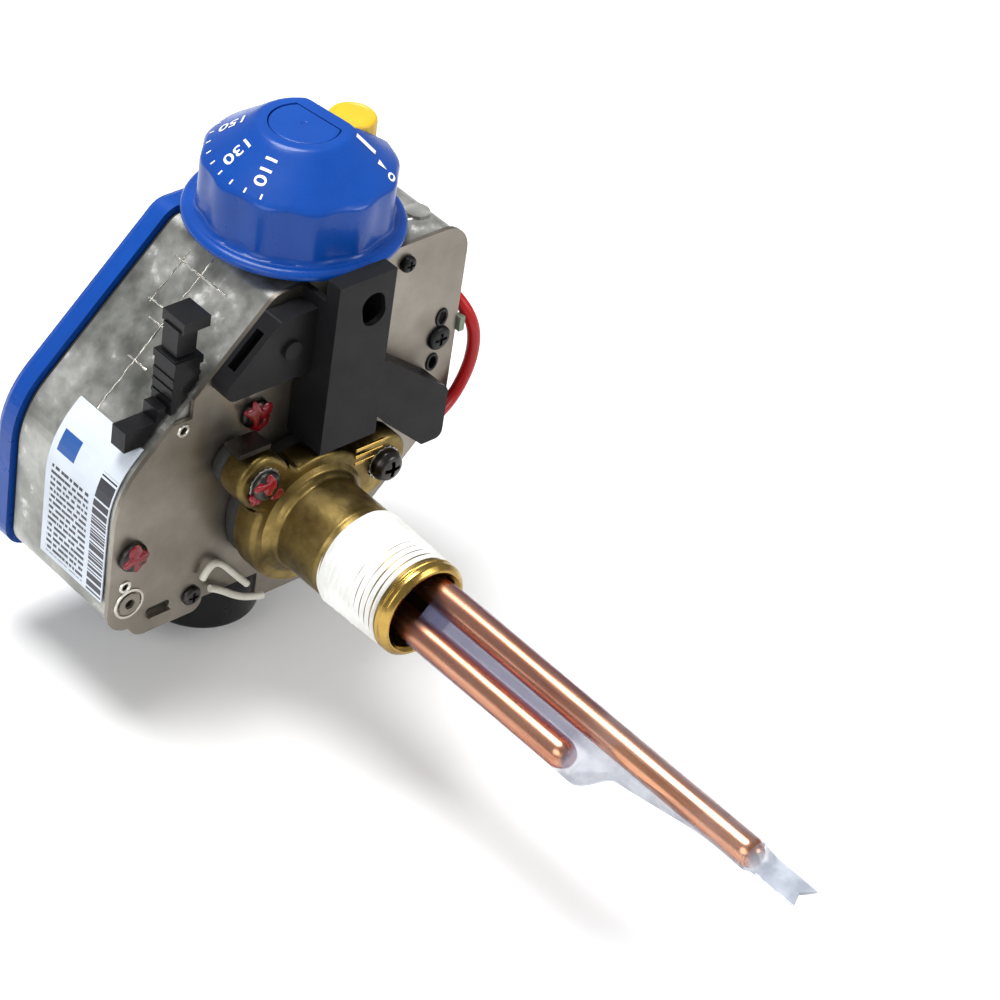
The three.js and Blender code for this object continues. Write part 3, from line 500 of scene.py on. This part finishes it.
def lathe(name, profile, axis="z", centre=(0, 0, 0), steps=96, shape=None, sharp=SHARP):
    """Turned piece. shape(angle, radius, height) may change the radius round the turn."""
    turn = AXES[axis]
    place = Vector(centre)
    bm = bmesh.new()
    rings = []
    for r, h in rounded(profile):
        ring = []
        for k in range(1 if r < 1e-6 else steps):
            angle = TAU * k / steps
            radius = shape(angle, r, h) if shape else r
            local = Vector((radius * math.cos(angle), radius * math.sin(angle), h))
            ring.append(bm.verts.new((turn @ local + place) * MM))
        rings.append(ring)
    for low, high in zip(rings, rings[1:]):
        for k in range(steps):
            places = ((low, k), (low, k + 1), (high, k + 1), (high, k))
            corners = [ring[n % len(ring)] for ring, n in places]
            unique = list(dict.fromkeys(corners))
            if len(unique) > 2:
                bm.faces.new(unique)
    return to_object(name, bm, sharp)


def loft(name, sections, closed_ends=True, sharp=SHARP):
    """Skin over closed sections that have the same number of points, in millimetres."""
    bm = bmesh.new()
    rings = [[bm.verts.new(Vector(p) * MM) for p in section] for section in sections]
    count = len(rings[0])
    for low, high in zip(rings, rings[1:]):
        for k in range(count):
            bm.faces.new((low[k], low[(k + 1) % count], high[(k + 1) % count], high[k]))
    if closed_ends:
        bm.faces.new(rings[0])
        bm.faces.new(rings[-1][::-1])
    return to_object(name, bm, sharp)


def block(name, low, high):
    bm = bmesh.new()
    bmesh.ops.create_cube(bm, size=1)
    middle = (Vector(low) + Vector(high)) / 2 * MM
    size = (Vector(high) - Vector(low)) * MM
    for vert in bm.verts:
        vert.co = Vector(a * b for a, b in zip(vert.co, size)) + middle
    return to_object(name, bm)


def settle(piece):
    """Applies the piece's modifiers to its mesh."""
    shown = piece.evaluated_get(bpy.context.evaluated_depsgraph_get())
    mesh = bpy.data.meshes.new_from_object(shown)
    piece.modifiers.clear()
    piece.data = mesh
    return piece


def carve(piece, *tools):
    """Cuts the tools out of the piece and removes them."""
    for tool in tools:
        modifier = piece.modifiers.new("cut", "BOOLEAN")
        modifier.operation = "DIFFERENCE"
        modifier.object = tool
        modifier.solver = "EXACT"
    settle(piece)
    for tool in tools:
        bpy.data.objects.remove(tool)
    return piece


def soften(piece, width, segments=3, angle=32, edge_material=None):
    """Rounds the sharp edges; the rounded faces may take a material of their own."""
    modifier = piece.modifiers.new("soft_edges", "BEVEL")
    modifier.width = width * MM
    modifier.segments = segments
    modifier.limit_method = "ANGLE"
    modifier.angle_limit = math.radians(angle)
    modifier.harden_normals = True
    if edge_material:
        piece.data.materials.append(edge_material)
        modifier.material = len(piece.data.materials) - 1


def dress(piece, material, body="housing", replaces=()):
    """Gives a piece its material, the body it rides and the CAD nodes it replaces."""
    piece.data.materials.clear()
    piece.data.materials.append(material)
    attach(piece, body)
    if replaces:
        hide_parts(*replaces)
    return piece


def wire(name, points, radius, material, replaces=()):
    """Round flexible lead through its points."""
    data = bpy.data.curves.new(name, "CURVE")
    data.dimensions = "3D"
    data.bevel_depth = radius * MM
    data.bevel_resolution = 6
    data.resolution_u = 10
    data.use_fill_caps = True
    spline = data.splines.new("NURBS")
    spline.points.add(len(points) - 1)
    for point, place in zip(spline.points, points):
        point.co = (*(Vector(place) * MM), 1)
    spline.order_u = 4
    spline.use_endpoint_u = True
    curve = bpy.data.objects.new(name + "_route", data)
    bpy.context.collection.objects.link(curve)
    mesh = bpy.data.meshes.new_from_object(curve.evaluated_get(bpy.context.evaluated_depsgraph_get()))
    bpy.data.objects.remove(curve)
    piece = bpy.data.objects.new(name, mesh)
    bpy.context.collection.objects.link(piece)
    smooth(piece)
    return dress(piece, material, replaces=replaces)


# ---------------------------------------------------------------- control knob

KNOB = (-12.5, -20.5, 0)
KNOB_TOP = 88.8
CONE_FOOT = (22.4, 79.75)
CONE_HEAD = (11.3, KNOB_TOP)
CAP_FLAT = 4.6  # from the knob's axis toward the button
BUTTON = (-27.2, -20.5, 0)
FLUTES = 12
FLUTE_DEPTH = 0.6
SKIRT_RADIUS = 26.7
GRIP_RADIUS = 23.4
CAP_RADIUS = 8.4
CAP_SOCKET = 8.7
NOTCH_TURN = math.radians(187)
NOTCH_START = 8.3
NOTCH_FLOOR = 77.5
INK_LIFT = 0.07
TICKS = 9
FIRST_TICK = -66  # degrees
TICK_STEP = 11.5


def flute(angle, radius, height):
    """Shallow scallops round the grip, fading out at its top edge."""
    if not 65.6 < height < 79.9 or radius < 21.7:
        return radius
    wave = 0.5 - 0.5 * math.cos(FLUTES * angle)
    fade = min(1, (79.9 - height) / 1.6)
    return radius - FLUTE_DEPTH * wave ** 1.2 * fade


def toward_button(name, low, high):
    """Block drawn along +X from the knob's axis and turned to the button's side."""
    tool = block(name, low, high)
    tool.data.transform(Matrix.Rotation(NOTCH_TURN, 4, "Z"))
    tool.data.transform(Matrix.Translation(Vector(KNOB) * MM))
    return tool


def beyond(name, flat):
    """Everything on the button's side of a line across the knob."""
    return toward_button(name, (flat, -40, 60), (40, 40, 120))


def make_knob():
    knob = lathe("knob_shell", [
        (0, 80.3, 0), (4.3, 80.3, 0), (4.3, 62.7, 0), (7.7, 62.7, 0), (7.7, 74, 0), (21.6, 74, 0),
        (21.6, 62.7, 0), (25.9, 62.7, 0.5), (SKIRT_RADIUS, 63.3, 0.5), (SKIRT_RADIUS, 64.4, 0.7),
        (25.7, 65.25, 0.6), (24.3, 65.45, 0.5), (GRIP_RADIUS, 66.4, 0.8), (GRIP_RADIUS, 70, 0),
        (GRIP_RADIUS, 75, 0), (GRIP_RADIUS, 77.6, 0), (23.3, 78.8, 0.7), (22.3, 79.8, 0.8),
        (17, 84.05, 0), (12.3, 87.95, 1.0), (11.0, KNOB_TOP, 1.0), (0, KNOB_TOP, 0),
    ], centre=KNOB, steps=240, shape=flute, sharp=30)
    notch = toward_button("notch", (NOTCH_START, -8, NOTCH_FLOOR), (40, 40, 95))
    well = lathe("well", [(0, 70, 0), (6.3, 70, 0), (6.3, 79, 0), (0, 79, 0)], centre=BUTTON, steps=64)
    socket = lathe("socket", [
        (0, 87.1, 0), (CAP_SOCKET, 87.1, 0), (CAP_SOCKET, 92, 0), (0, 92, 0),
    ], centre=KNOB, steps=96)
    carve(socket, beyond("socket_flat", CAP_FLAT + 0.3))
    carve(knob, notch, well, socket)
    soften(knob, 0.3, 2, 50)
    dress(knob, BLUE, "knob", replaces=["control_knob"])
    cap = lathe("knob_disc", [
        (0, 87.4, 0), (CAP_RADIUS, 87.4, 0), (CAP_RADIUS, 88.6, 0.3), (7.9, 88.75, 0.2),
        (0.9, 88.75, 0.15), (0.7, 88.45, 0.1), (0, 88.45, 0),
    ], centre=KNOB, steps=96)
    carve(cap, beyond("cap_flat", CAP_FLAT))
    soften(cap, 0.2, 2, 50)
    dress(cap, BLUE, "knob", replaces=["knob_cap"])


def on_cone(out, across, lift, azimuth):
    """Point on the knob's cone: out along the radius, across it, lifted off the surface."""
    radius = math.hypot(out, across)
    angle = azimuth + math.atan2(across, out)
    part = (CONE_FOOT[0] - radius) / (CONE_FOOT[0] - CONE_HEAD[0])
    height = CONE_FOOT[1] + part * (CONE_HEAD[1] - CONE_FOOT[1]) + lift
    x = KNOB[0] + radius * math.cos(angle)
    y = KNOB[1] + radius * math.sin(angle)
    return Vector((x, y, height)) * MM


def ink(name, mesh, azimuth):
    """Wraps a flat drawing (x outward, y across, in millimetres) onto the cone."""
    bm = bmesh.new()
    bm.from_mesh(mesh)
    bmesh.ops.triangulate(bm, faces=bm.faces)
    bmesh.ops.subdivide_edges(bm, edges=bm.edges, cuts=2)
    for vert in bm.verts:
        vert.co = on_cone(vert.co.x, vert.co.y, INK_LIFT + vert.co.z, azimuth)
    dress(to_object(name, bm), WHITE_INK, "knob")


def numeral(name, words, azimuth, inner, size):
    """Number on the cone, read outward from its inner end."""
    data = bpy.data.curves.new(name, "FONT")
    data.body = words
    data.size = size
    data.extrude = 0.04
    data.offset = 0.05
    data.align_x = "LEFT"
    data.align_y = "CENTER"
    text = bpy.data.objects.new(name + "_words", data)
    bpy.context.collection.objects.link(text)
    mesh = bpy.data.meshes.new_from_object(text.evaluated_get(bpy.context.evaluated_depsgraph_get()))
    bpy.data.objects.remove(text)
    mesh.transform(Matrix.Translation((inner, 0, 0)))
    ink(name, mesh, math.radians(azimuth))


def bar(name, azimuth, inner, outer, width, tip=None):
    """Straight mark along the radius, with an optional pointed end."""
    half = width / 2
    points = [(inner, -half), (outer, -half), (outer, half), (inner, half)]
    if tip:
        points = [(inner, -half), (outer, 0), (inner, half)]
    mesh = bpy.data.meshes.new(name)
    mesh.from_pydata([(x, y, 0) for x, y in points], [], [tuple(range(len(points)))])
    ink(name, mesh, math.radians(azimuth))


def make_markings():
    bar("index_mark", 132, 12.2, 17.0, 1.5)
    bar("index_arrow", 126, 18.2, 20.4, 1.8, tip=True)
    numeral("mark_0", "0", 124, 20.9, 3.6)
    for number, azimuth in (("110", 20), ("130", -13), ("150", -54)):
        numeral("mark_" + number, number, azimuth, 13.4, 4.3)
    for k in range(TICKS):
        bar(f"tick_{k}", FIRST_TICK + TICK_STEP * k, 21.0, 22.0, 0.45)


def make_button():
    def grooves(angle, radius, height):
        return radius - 0.12 * (math.cos(18 * angle) > 0.2) * (radius > 5.8) * (height > 75)

    button = lathe("pilot_cap", [
        (0, 71.8, 0), (6.5, 71.8, 0.2), (6.5, 73.7, 0.2), (6, 73.8, 0), (6, 80, 0), (5.95, 85.9, 0.6),
        (5.3, 86.7, 0.5), (4.7, 86.65, 0.2), (4.4, 86.45, 0.2), (0, 86.5, 0),
    ], centre=BUTTON, steps=96, shape=grooves)
    dress(button, YELLOW, "button", replaces=["pilot_button"])


make_knob()
make_markings()
make_button()


# ---------------------------------------------------------------- casing

SHOULDER = 68.37  # X + Z on the casting's sloping face
CASTING_TOP = 60.0
SEAM_Y = -21.5
SEAM_STEP = 0.8
ROOT_HALF = math.sqrt(0.5)


def shoulder_point(along, y, lift=0.0):
    """Point on the casting's slope: along is its X, lift is off the surface."""
    return (along + lift * ROOT_HALF, y, SHOULDER - along + lift * ROOT_HALF)


def flow_line(name, points, lift_way, width, seed):
    """Raised ragged line left on a casting by the die's seams."""
    noise = random.Random(seed)
    way = Vector(lift_way).normalized()
    route = []
    for start, end in zip(points, points[1:]):
        start, end = Vector(start), Vector(end)
        count = max(2, int((end - start).length / SEAM_STEP))
        route += [start.lerp(end, k / count) for k in range(count)]
    route.append(Vector(points[-1]))
    sections = []
    for i, point in enumerate(route):
        ahead = route[min(i + 1, len(route) - 1)] - route[max(i - 1, 0)]
        side = ahead.normalized().cross(way)
        half = width * noise.uniform(0.30, 0.62)
        height = noise.uniform(0.16, 0.42) * (0.4 if i in (0, len(route) - 1) else 1)
        point = point + side * noise.uniform(-0.12, 0.12)
        outline = [
            (-half, -0.1), (-half * 0.5, height * 0.75), (0, height), (half * 0.5, height * 0.7),
            (half, -0.1),
        ]
        sections.append([point + side * s + way * h for s, h in outline])
    # The raised line's bright metal is a painted highlight.
    dress(loft(name, sections, sharp=60), EDGE_HIGHLIGHT_METAL)


def make_flow_lines():
    slope = (1, 0, 1)
    flow_line("flow_long", [shoulder_point(x, SEAM_Y) for x in (10, 24, 34, 41)], slope, 0.9, 1)
    flow_line("flow_side", [shoulder_point(x, -28.5) for x in (11, 17, 22)], slope, 0.6, 2)
    crossings = ((13.5, -31, -12), (21.5, -30, -12), (24, -26, -19), (31, -24, -17))
    for k, (x, start, end) in enumerate(crossings):
        ends = [shoulder_point(x, start), shoulder_point(x, end)]
        flow_line(f"flow_cross_{k}", ends, slope, 0.7, 10 + k)
    flow_line("flow_top", [(5, SEAM_Y, CASTING_TOP), (9, SEAM_Y, 59.4)], (0, 0, 1), 0.8, 5)
    flow_line("flow_end", [(-45, -9, CASTING_TOP), (-34, -9, CASTING_TOP)], (0, 0, 1), 0.8, 6)


def eyelet(name, x, z, half_width, half_height, height=0.35):
    """Rolled rim round a punched hole in the plate."""
    bm = bmesh.new()
    around, across = 40, 8
    rings = []
    for k in range(around):
        angle = TAU * k / around
        out = Vector((math.cos(angle), 0, math.sin(angle)))
        middle = Vector((x + half_width * out.x, height * 0.3, z + half_height * out.z))
        ring = []
        for j in range(across):
            turn = TAU * j / across
            rise = Vector((0, height * math.sin(turn), 0))
            ring.append(bm.verts.new((middle + out * 0.45 * math.cos(turn) + rise) * MM))
        rings.append(ring)
    for k in range(around):
        low, high = rings[k], rings[(k + 1) % around]
        for j in range(across):
            bm.faces.new((low[j], low[(j + 1) % across], high[(j + 1) % across], high[j]))
    return to_object(name, bm)


def make_plate_details():
    for name, x, z, half_width, half_height in (
        ("eyelet_upper", -45.2, 34.6, 1.5, 2.2), ("eyelet_lower", -44, 21.7, 1.5, 2.2),
        ("rim_small", 32.7, 31.5, 1.35, 1.35), ("rim_low", 46, -9.1, 1.3, 1.3),
        ("rim_ring", 44.4, -14.8, 3.9, 3.9),
    ):
        # The rims, all but the black eyelets, take the bright metal as a painted highlight.
        rim_material = BLACK if name.startswith("eyelet") else EDGE_HIGHLIGHT_METAL
        dress(eyelet(name, x, z, half_width, half_height), rim_material)


make_flow_lines()
make_plate_details()


# ---------------------------------------------------------------- fasteners


def cross_recess(name, centre, reach, depth, face):
    """Tools for a cross-shaped driver recess in a head whose top is at Y = face."""
    x, _, z = centre
    half = reach * 0.24
    return [
        block(name + "_cut_a", (x - reach, face - depth, z - half), (x + reach, face + 2, z + half)),
        block(name + "_cut_b", (x - half, face - depth, z - reach), (x + half, face + 2, z + reach)),
    ]


def head_screw(node, centre, head, height, seat, washer=0.0, material=None):
    """Pan-head screw with a driver recess and, under it, an optional toothed washer."""
    shank = 0.495 * head
    notched = washer * 0.9

    def teeth(angle, radius, along):
        return radius - 0.28 * (math.cos(18 * angle) > 0) * (radius > notched)

    screw = lathe(node + "_piece", [
        (0, -1, 0), (shank, -1, 0), (shank, seat, 0), (head, seat, 0.25),
        (head, seat + height * 0.5, 0.5), (head * 0.78, seat + height * 0.88, 0.6),
        (head * 0.3, seat + height, 0.2), (0, seat + height, 0),
    ], "y", centre, 56)
    carve(screw, *cross_recess(node, centre, head * 0.55, height * 0.45, seat + height))
    soften(screw, 0.12, 2)
    dress(screw, material or DARK_STEEL, replaces=[node])
    if washer:
        ring = lathe(node + "_washer", [
            (head * 0.6, seat, 0), (washer, seat, 0.1), (washer, seat + 0.35, 0.1),
            (head * 0.6, seat + 0.35, 0), (head * 0.6, seat, 0),
        ], "y", centre, 72, shape=teeth)
        dress(ring, STEEL)


def paint_dab(name, centre, size, seed):
    """Ragged blob of sealing paint, on a screw head or beside it."""
    noise = random.Random(seed)
    bm = bmesh.new()
    bmesh.ops.create_icosphere(bm, subdivisions=4, radius=1)
    draws = ((-3, 3), (-3, 3), (0, TAU), (0.06, 0.2))
    waves = [[noise.uniform(*draw) for draw in draws] for _ in range(9)]
    for vert in bm.verts:
        x, y, z = vert.co
        ragged = 1 + sum(h * math.sin(a * x * 2 + b * z * 2 + phase) for a, b, phase, h in waves)
        blob = Vector((x * size[0] * ragged, y * size[1] * (0.7 + 0.3 * ragged), z * size[2] * ragged))
        vert.co = blob + Vector(centre)
        vert.co *= MM
    dress(to_object(name, bm, 60), RED_PAINT)


def make_fasteners():
    head_screw("plate_screw_upper", (11.8, 0, 28.6), 3.9, 2.3, 0.1)
    head_screw("plate_screw_side", (44.8, 0, -0.1), 3.9, 2.3, 0.1)
    head_screw("plate_screw_bottom", (25.6, 0, -20.6), 2.6, 1.5, 0.1)
    head_screw("top_screw", (-31, 0, 55.5), 2.2, 1.7, 0.1, material=BLACK)
    head_screw("push_rivet", (-44.9, 0, 28.8), 3.3, 1.4, 0.1, material=BLACK)
    head_screw("flange_screw_left", (16.7, 0, 17.2), 3.9, 2.7, 11.6, 4.5)
    head_screw("flange_screw_right", (-20.8, 0, 8.2), 4.2, 3.9, 11.6, 4.6)
    head_screw("flange_screw_lower", (-13, 0, -18), 3.9, 2.7, 11.6, 4.5)
    for k, (x, y, z, spread) in enumerate((
        (12.3, 2.0, 29.6, 3.1), (10.6, 1.5, 26.6, 2.2), (45.2, 2.0, 0.4, 2.8), (43.8, 1.5, -1.6, 2.0),
        (17.4, 13.8, 18.2, 2.9), (15.3, 13.2, 15.4, 2.3), (18.8, 12.2, 14.2, 1.6),
    )):
        paint_dab(f"paint_dab_{k}", (x, y, z), (spread, 0.8, spread * 1.1), 40 + k)


make_fasteners()


# ---------------------------------------------------------------- shank

EARS = ((16.7, 17.2, 7.5), (-20.8, 8.2, 7.5), (-13.0, -18.0, 7.0))
FLANGE_RADIUS = 18.2
FLANGE_BACK, FLANGE_FACE = 4.0, 11.5
BORE = 10.1
NECK_END = 49.5
THREAD_PITCH = 25.4 / 14
TAPE_START, TAPE_END = 28.6, 49.3
TAPE_INNER = 12.1
TAPE_OUTER = 13.34


def flange_reach(angle, shrink=0.0):
    """Distance from the shank's axis to the flange's edge at an angle from +X to +Z."""
    reach = FLANGE_RADIUS - shrink
    for x, z, ear in EARS:
        radius = ear - shrink
        distance = math.hypot(x, z)
        off = math.remainder(angle - math.atan2(z, x), TAU)
        if abs(off) < math.pi / 2:
            offset = distance * math.sin(abs(off))
            if offset < radius:
                reach = max(reach, distance * math.cos(off) + math.sqrt(radius ** 2 - offset ** 2))
            arm = radius - 1
            if abs(off) > 1e-6:
                side = arm / math.sin(abs(off))
                if side * math.cos(off) < distance:
                    reach = max(reach, side)
    return reach


def flange_loop(shrink, y, steps=360, spread=5):
    """Closed outline of the eared flange, with its inner corners eased."""
    raw = [flange_reach(TAU * k / steps, shrink) for k in range(steps)]
    loop = []
    for k in range(steps):
        eased = sum(raw[(k + j) % steps] for j in range(-spread, spread + 1)) / (2 * spread + 1)
        reach = min(raw[k], eased) if raw[k] > FLANGE_RADIUS + 1 else eased
        angle = TAU * k / steps
        loop.append((reach * math.cos(angle), y, reach * math.sin(angle)))
    return loop


def bore_loop(radius, y, steps=360):
    angles = [TAU * k / steps for k in range(steps)]
    return [(radius * math.cos(angle), y, radius * math.sin(angle)) for angle in angles]


def make_shank():
    flange = loft("shank_flange", [
        bore_loop(10.4, FLANGE_BACK), flange_loop(0.8, FLANGE_BACK),
        flange_loop(0.2, FLANGE_BACK + 0.3), flange_loop(0, FLANGE_BACK + 0.9),
        flange_loop(0, FLANGE_FACE - 1.2), flange_loop(0.25, FLANGE_FACE - 0.5),
        flange_loop(0.9, FLANGE_FACE - 0.05), flange_loop(1.4, FLANGE_FACE),
        bore_loop(10.4, FLANGE_FACE), bore_loop(10.4, FLANGE_BACK),
    ], closed_ends=False)
    dress(flange, BRASS, replaces=["brass_shank"])
    neck = lathe("shank_neck", [
        (BORE, 4.2, 0), (12, 4.2, 0), (12, 11.3, 0), (15.6, 11.3, 0), (14.6, 11.9, 0.6),
        (13.7, 12.4, 0.4), (13.3, 13.4, 0.8), (12.75, 14.2, 0.5), (12.7, 27.4, 0.3),
        (12.3, 28.4, 0), (12.0, NECK_END, 0), (BORE, NECK_END, 0), (BORE, 4.2, 0),
    ], "y", steps=128)
    dress(neck, BRASS)
    rim = lathe("shank_rim", [
        (BORE, NECK_END, 0), (12.6, NECK_END, 0.2), (12.6, 50.1, 0.1), (12.3, 50.3, 0.1),
        (12.3, 50.7, 0.1), (12.6, 50.9, 0.1), (12.55, 51.9, 0.3), (11.5, 53.0, 0.4),
        (10.9, 53.1, 0.2), (BORE, 52.0, 0.2), (BORE, NECK_END, 0),
    ], "y", steps=128)
    dress(rim, BRIGHT_BRASS)
    for k in range(3):
        z = 15.0 - 2.0 * k
        ridge = block(f"ear_ridge_{k}", (-20.5 + 0.3 * k, 10.9, z - 0.55), (-11.5, 11.7, z + 0.55))
        soften(ridge, 0.3, 2)
        dress(ridge, BRIGHT_BRASS)
    gasket = loft("gasket_piece", [
        bore_loop(10.6, 0.3), flange_loop(1.0, 0.3), flange_loop(0.7, 0.8), flange_loop(0.7, 3.3),
        flange_loop(1.0, 3.8), bore_loop(10.6, 3.8), bore_loop(10.6, 0.3),
    ], closed_ends=False)
    dress(gasket, GASKET, replaces=["flange_gasket"])


def make_sealant():
    """Sealing tape drawn down over the pipe thread: fine rings with ragged winding edges."""
    noise = random.Random(7)
    lumps = [(noise.randint(2, 9), noise.uniform(0, TAU), noise.uniform(0.01, 0.035)) for _ in range(8)]
    steps, rows = 160, 150

    def section(y, cut_down=0.0):
        loop = []
        for k in range(steps):
            angle = TAU * k / steps
            phase = (y / THREAD_PITCH + angle / TAU) % 1
            tooth = abs(phase * 2 - 1) ** 0.8
            radius = TAPE_OUTER - (y - TAPE_START) / 32 - 0.85 * tooth - cut_down
            radius += sum(size * math.sin(n * angle + p + y) for n, p, size in lumps) - 0.03
            loop.append((radius * math.cos(angle), y, radius * math.sin(angle)))
        return loop

    sections = [bore_loop(TAPE_INNER, TAPE_START, steps)]
    for row in range(rows + 1):
        part = row / rows
        fade = 0.35 * max(0, 1 - part * 22) + 0.35 * max(0, 1 - (1 - part) * 22)
        sections.append(section(TAPE_START + (TAPE_END - TAPE_START) * part, fade))
    sections.append(bore_loop(TAPE_INNER, TAPE_END, steps))
    tape = loft("sealing_tape", sections, closed_ends=False, sharp=75)
    dress(tape, SEALANT, replaces=["thread_sealant"])


make_shank()
make_sealant()


# ---------------------------------------------------------------- probe

LONG_TUBE = Vector((-4.1, 0, 4))
SHORT_TUBE = Vector((3.1, 0, -3))
TUBE_RADIUS = 3.65
FILM_RADIUS = 3.85
FILM_START, FILM_END = 55, 174.0
FILM_STEP = 0.75
AROUND = 64  # points round one section of the film
DROP_START, DROP_LENGTH = 111, 9  # past the short tube the film falls in
TAPER_START, TAPER_LENGTH = 114, 36  # and closes onto the long one
FLATTENING = 4.5
TAIL_HALF_WIDTH, TAIL_HALF_THICK = 3.95, 0.42
FORK_DEPTH = 1.9


def eased(part):
    part = min(max(part, 0), 1)
    return part * part * (3 - 2 * part)


def hull_loop(first, second, radius, y, second_radius):
    """Loop round two circles, as a stretched film lies."""
    axis = Vector((first.x - second.x, first.z - second.z))
    lean = math.atan2(axis.y, axis.x) if axis.length > 1e-6 else math.atan2(1, -1)
    loop = []
    for k in range(AROUND):
        angle = TAU * k / AROUND
        on_first = math.cos(angle) > 0
        centre, reach = (first, radius) if on_first else (second, second_radius)
        if abs(math.cos(angle)) < 1e-9:
            centre = (first + second) / 2
        turned = angle + lean
        x = centre.x + reach * math.cos(turned)
        z = centre.z + reach * math.sin(turned)
        loop.append(Vector((x, y, z)))
    return loop


def tube(name, centre, end, replaces):
    piece = lathe(name, [
        (3.0, -4, 0), (TUBE_RADIUS, -4, 0.1), (TUBE_RADIUS, end - 3.0, 1.2),
        (2.4, end - 0.7, 0.8), (0.9, end, 0.3), (0, end, 0),
    ], "y", centre, 72)
    dress(piece, COPPER, replaces=[replaces])


def film_section(y, waves):
    """Section of the clear film at one place along the probe, creased by the waves."""
    drop = eased((y - DROP_START) / DROP_LENGTH)
    taper = eased((y - TAPER_START) / TAPER_LENGTH)
    second = SHORT_TUBE.lerp(LONG_TUBE, 0.45 * drop + 0.55 * taper)
    web_radius = FILM_RADIUS - 2.0 * drop * (1 - taper)
    if y < FLAT_START:
        loop = hull_loop(LONG_TUBE, second, FILM_RADIUS, y, web_radius)
        middle = (LONG_TUBE + second) / 2
    else:
        part = min((y - FLAT_START) / FLATTENING, 1)
        half_width = FILM_RADIUS * (1 - part) + TAIL_HALF_WIDTH * part
        half_thick = FILM_RADIUS * (1 - part) + TAIL_HALF_THICK * part
        middle = LONG_TUBE
        loop = []
        for k in range(AROUND):
            angle = TAU * k / AROUND
            x = middle.x + half_width * math.cos(angle)
            z = middle.z + half_thick * math.sin(angle)
            loop.append(Vector((x, y, z)))
    creased = []
    for k, point in enumerate(loop):
        out = point - Vector((middle.x, y, middle.z))
        turn = TAU * k / AROUND
        crease = sum(size * math.sin(n * turn + y * rate + phase) for n, rate, phase, size in waves)
        creased.append(point + out.normalized() * crease)
    return creased


def make_probe():
    tube("long_tube", LONG_TUBE, LONG_END, "thermostat_tube")
    tube("short_tube", SHORT_TUBE, SHORT_END, "cutoff_tube")
    noise = random.Random(3)
    waves = [
        (noise.randint(2, 11), noise.uniform(-0.35, 0.35), noise.uniform(0, TAU), 0.016)
        for _ in range(8)
    ]
    rows = int((FILM_END - FILM_START) / FILM_STEP) + 1
    sections = [film_section(FILM_START + FILM_STEP * k, waves) for k in range(rows)]
    for row, section in enumerate(sections[-8:]):
        for point in section:
            fork = 1 - min(abs(point.x - LONG_TUBE.x) / 3.6, 1)
            point.y -= fork * FORK_DEPTH * (row / 7) ** 1.2
    film = loft("probe_film", sections, closed_ends=False, sharp=80)
    dress(film, FILM, replaces=["probe_sleeve", "sleeve_tail"])


make_probe()


# ---------------------------------------------------------------- leads and the outlet's cap

RED_LEAD = 1.65  # radii
WHITE_LEAD = 0.9

wire("red_loop", [
    (-51.3, -7, 38), (-52.4, -3, 36.4), (-54.7, 0.4, 32), (-56.1, 1.6, 26), (-55.9, 1.6, 18.5),
    (-53, 2, 12.5), (-49.4, 2.6, 9), (-45.3, 3.6, 8),
], RED_LEAD, RED_WIRE, ["red_lead"])
wire("white_wire_a", [
    (23.6, 1.6, -15.4), (23.0, 2.2, -12.4), (20.9, 2.2, -10.7), (17.6, 2.2, -13.4),
    (14.4, 2.2, -17.6), (9.7, 2, -22.9),
], WHITE_LEAD, WHITE_WIRE, ["white_lead_a"])
wire("white_wire_b", [
    (21.2, 1.8, -19.4), (18.4, 2, -20.6), (13.8, 2, -24.9), (9, 2, -27.6), (4.2, 2, -29),
], WHITE_LEAD, WHITE_WIRE, ["white_lead_b"])


def make_outlet_cap():
    def ribs(angle, radius, height):
        return radius - 0.25 * (math.cos(36 * angle) > 0.55) * (radius > 14.4) * (-38 < height < -26)

    cap = lathe("port_cap", [
        (0, -40.5, 0), (11.5, -40.5, 0.4), (12.2, -40.1, 0.4), (15, -40.0, 1.3), (15, -24.9, 0.6),
        (14.2, -24, 0.4), (10.9, -24, 0.2), (10.9, -36.3, 0), (0, -36.3, 0),
    ], centre=(7.7, -17.8, 0), steps=180, shape=ribs)
    dress(cap, BLACK, replaces=["outlet_cap"])


make_outlet_cap()


# ---------------------------------------------------------------- CAD pieces that stay

EDGE_ROUNDING = {
    "valve_body": 1.2, "back_plate": 0.22, "front_cover": 0.6, "wire_guard": 0.7,
    "connector_base": 0.3, "connector_body": 0.3, "connector_plug": 0.35, "flange_clip": 0.4,
    "edge_tab": 0.3, "inlet_bushing": 0.3, "cover_screw": 0.2,
}


def dress_cad():
    slots = {row["node"]: row["material_slot"] for row in frame["record"]["subparts"]}
    for name, node in NODES.items():
        node.data.materials.clear()
        node.data.materials.append(SLOT_MATERIALS[slots[name]])
        if name in EDGE_ROUNDING:
            # The plate's rounded edges take the bright metal: painted edge highlights.
            bright = EDGE_HIGHLIGHT_METAL if name == "back_plate" else None
            soften(node, EDGE_ROUNDING[name], 3, 40, bright)


dress_cad()
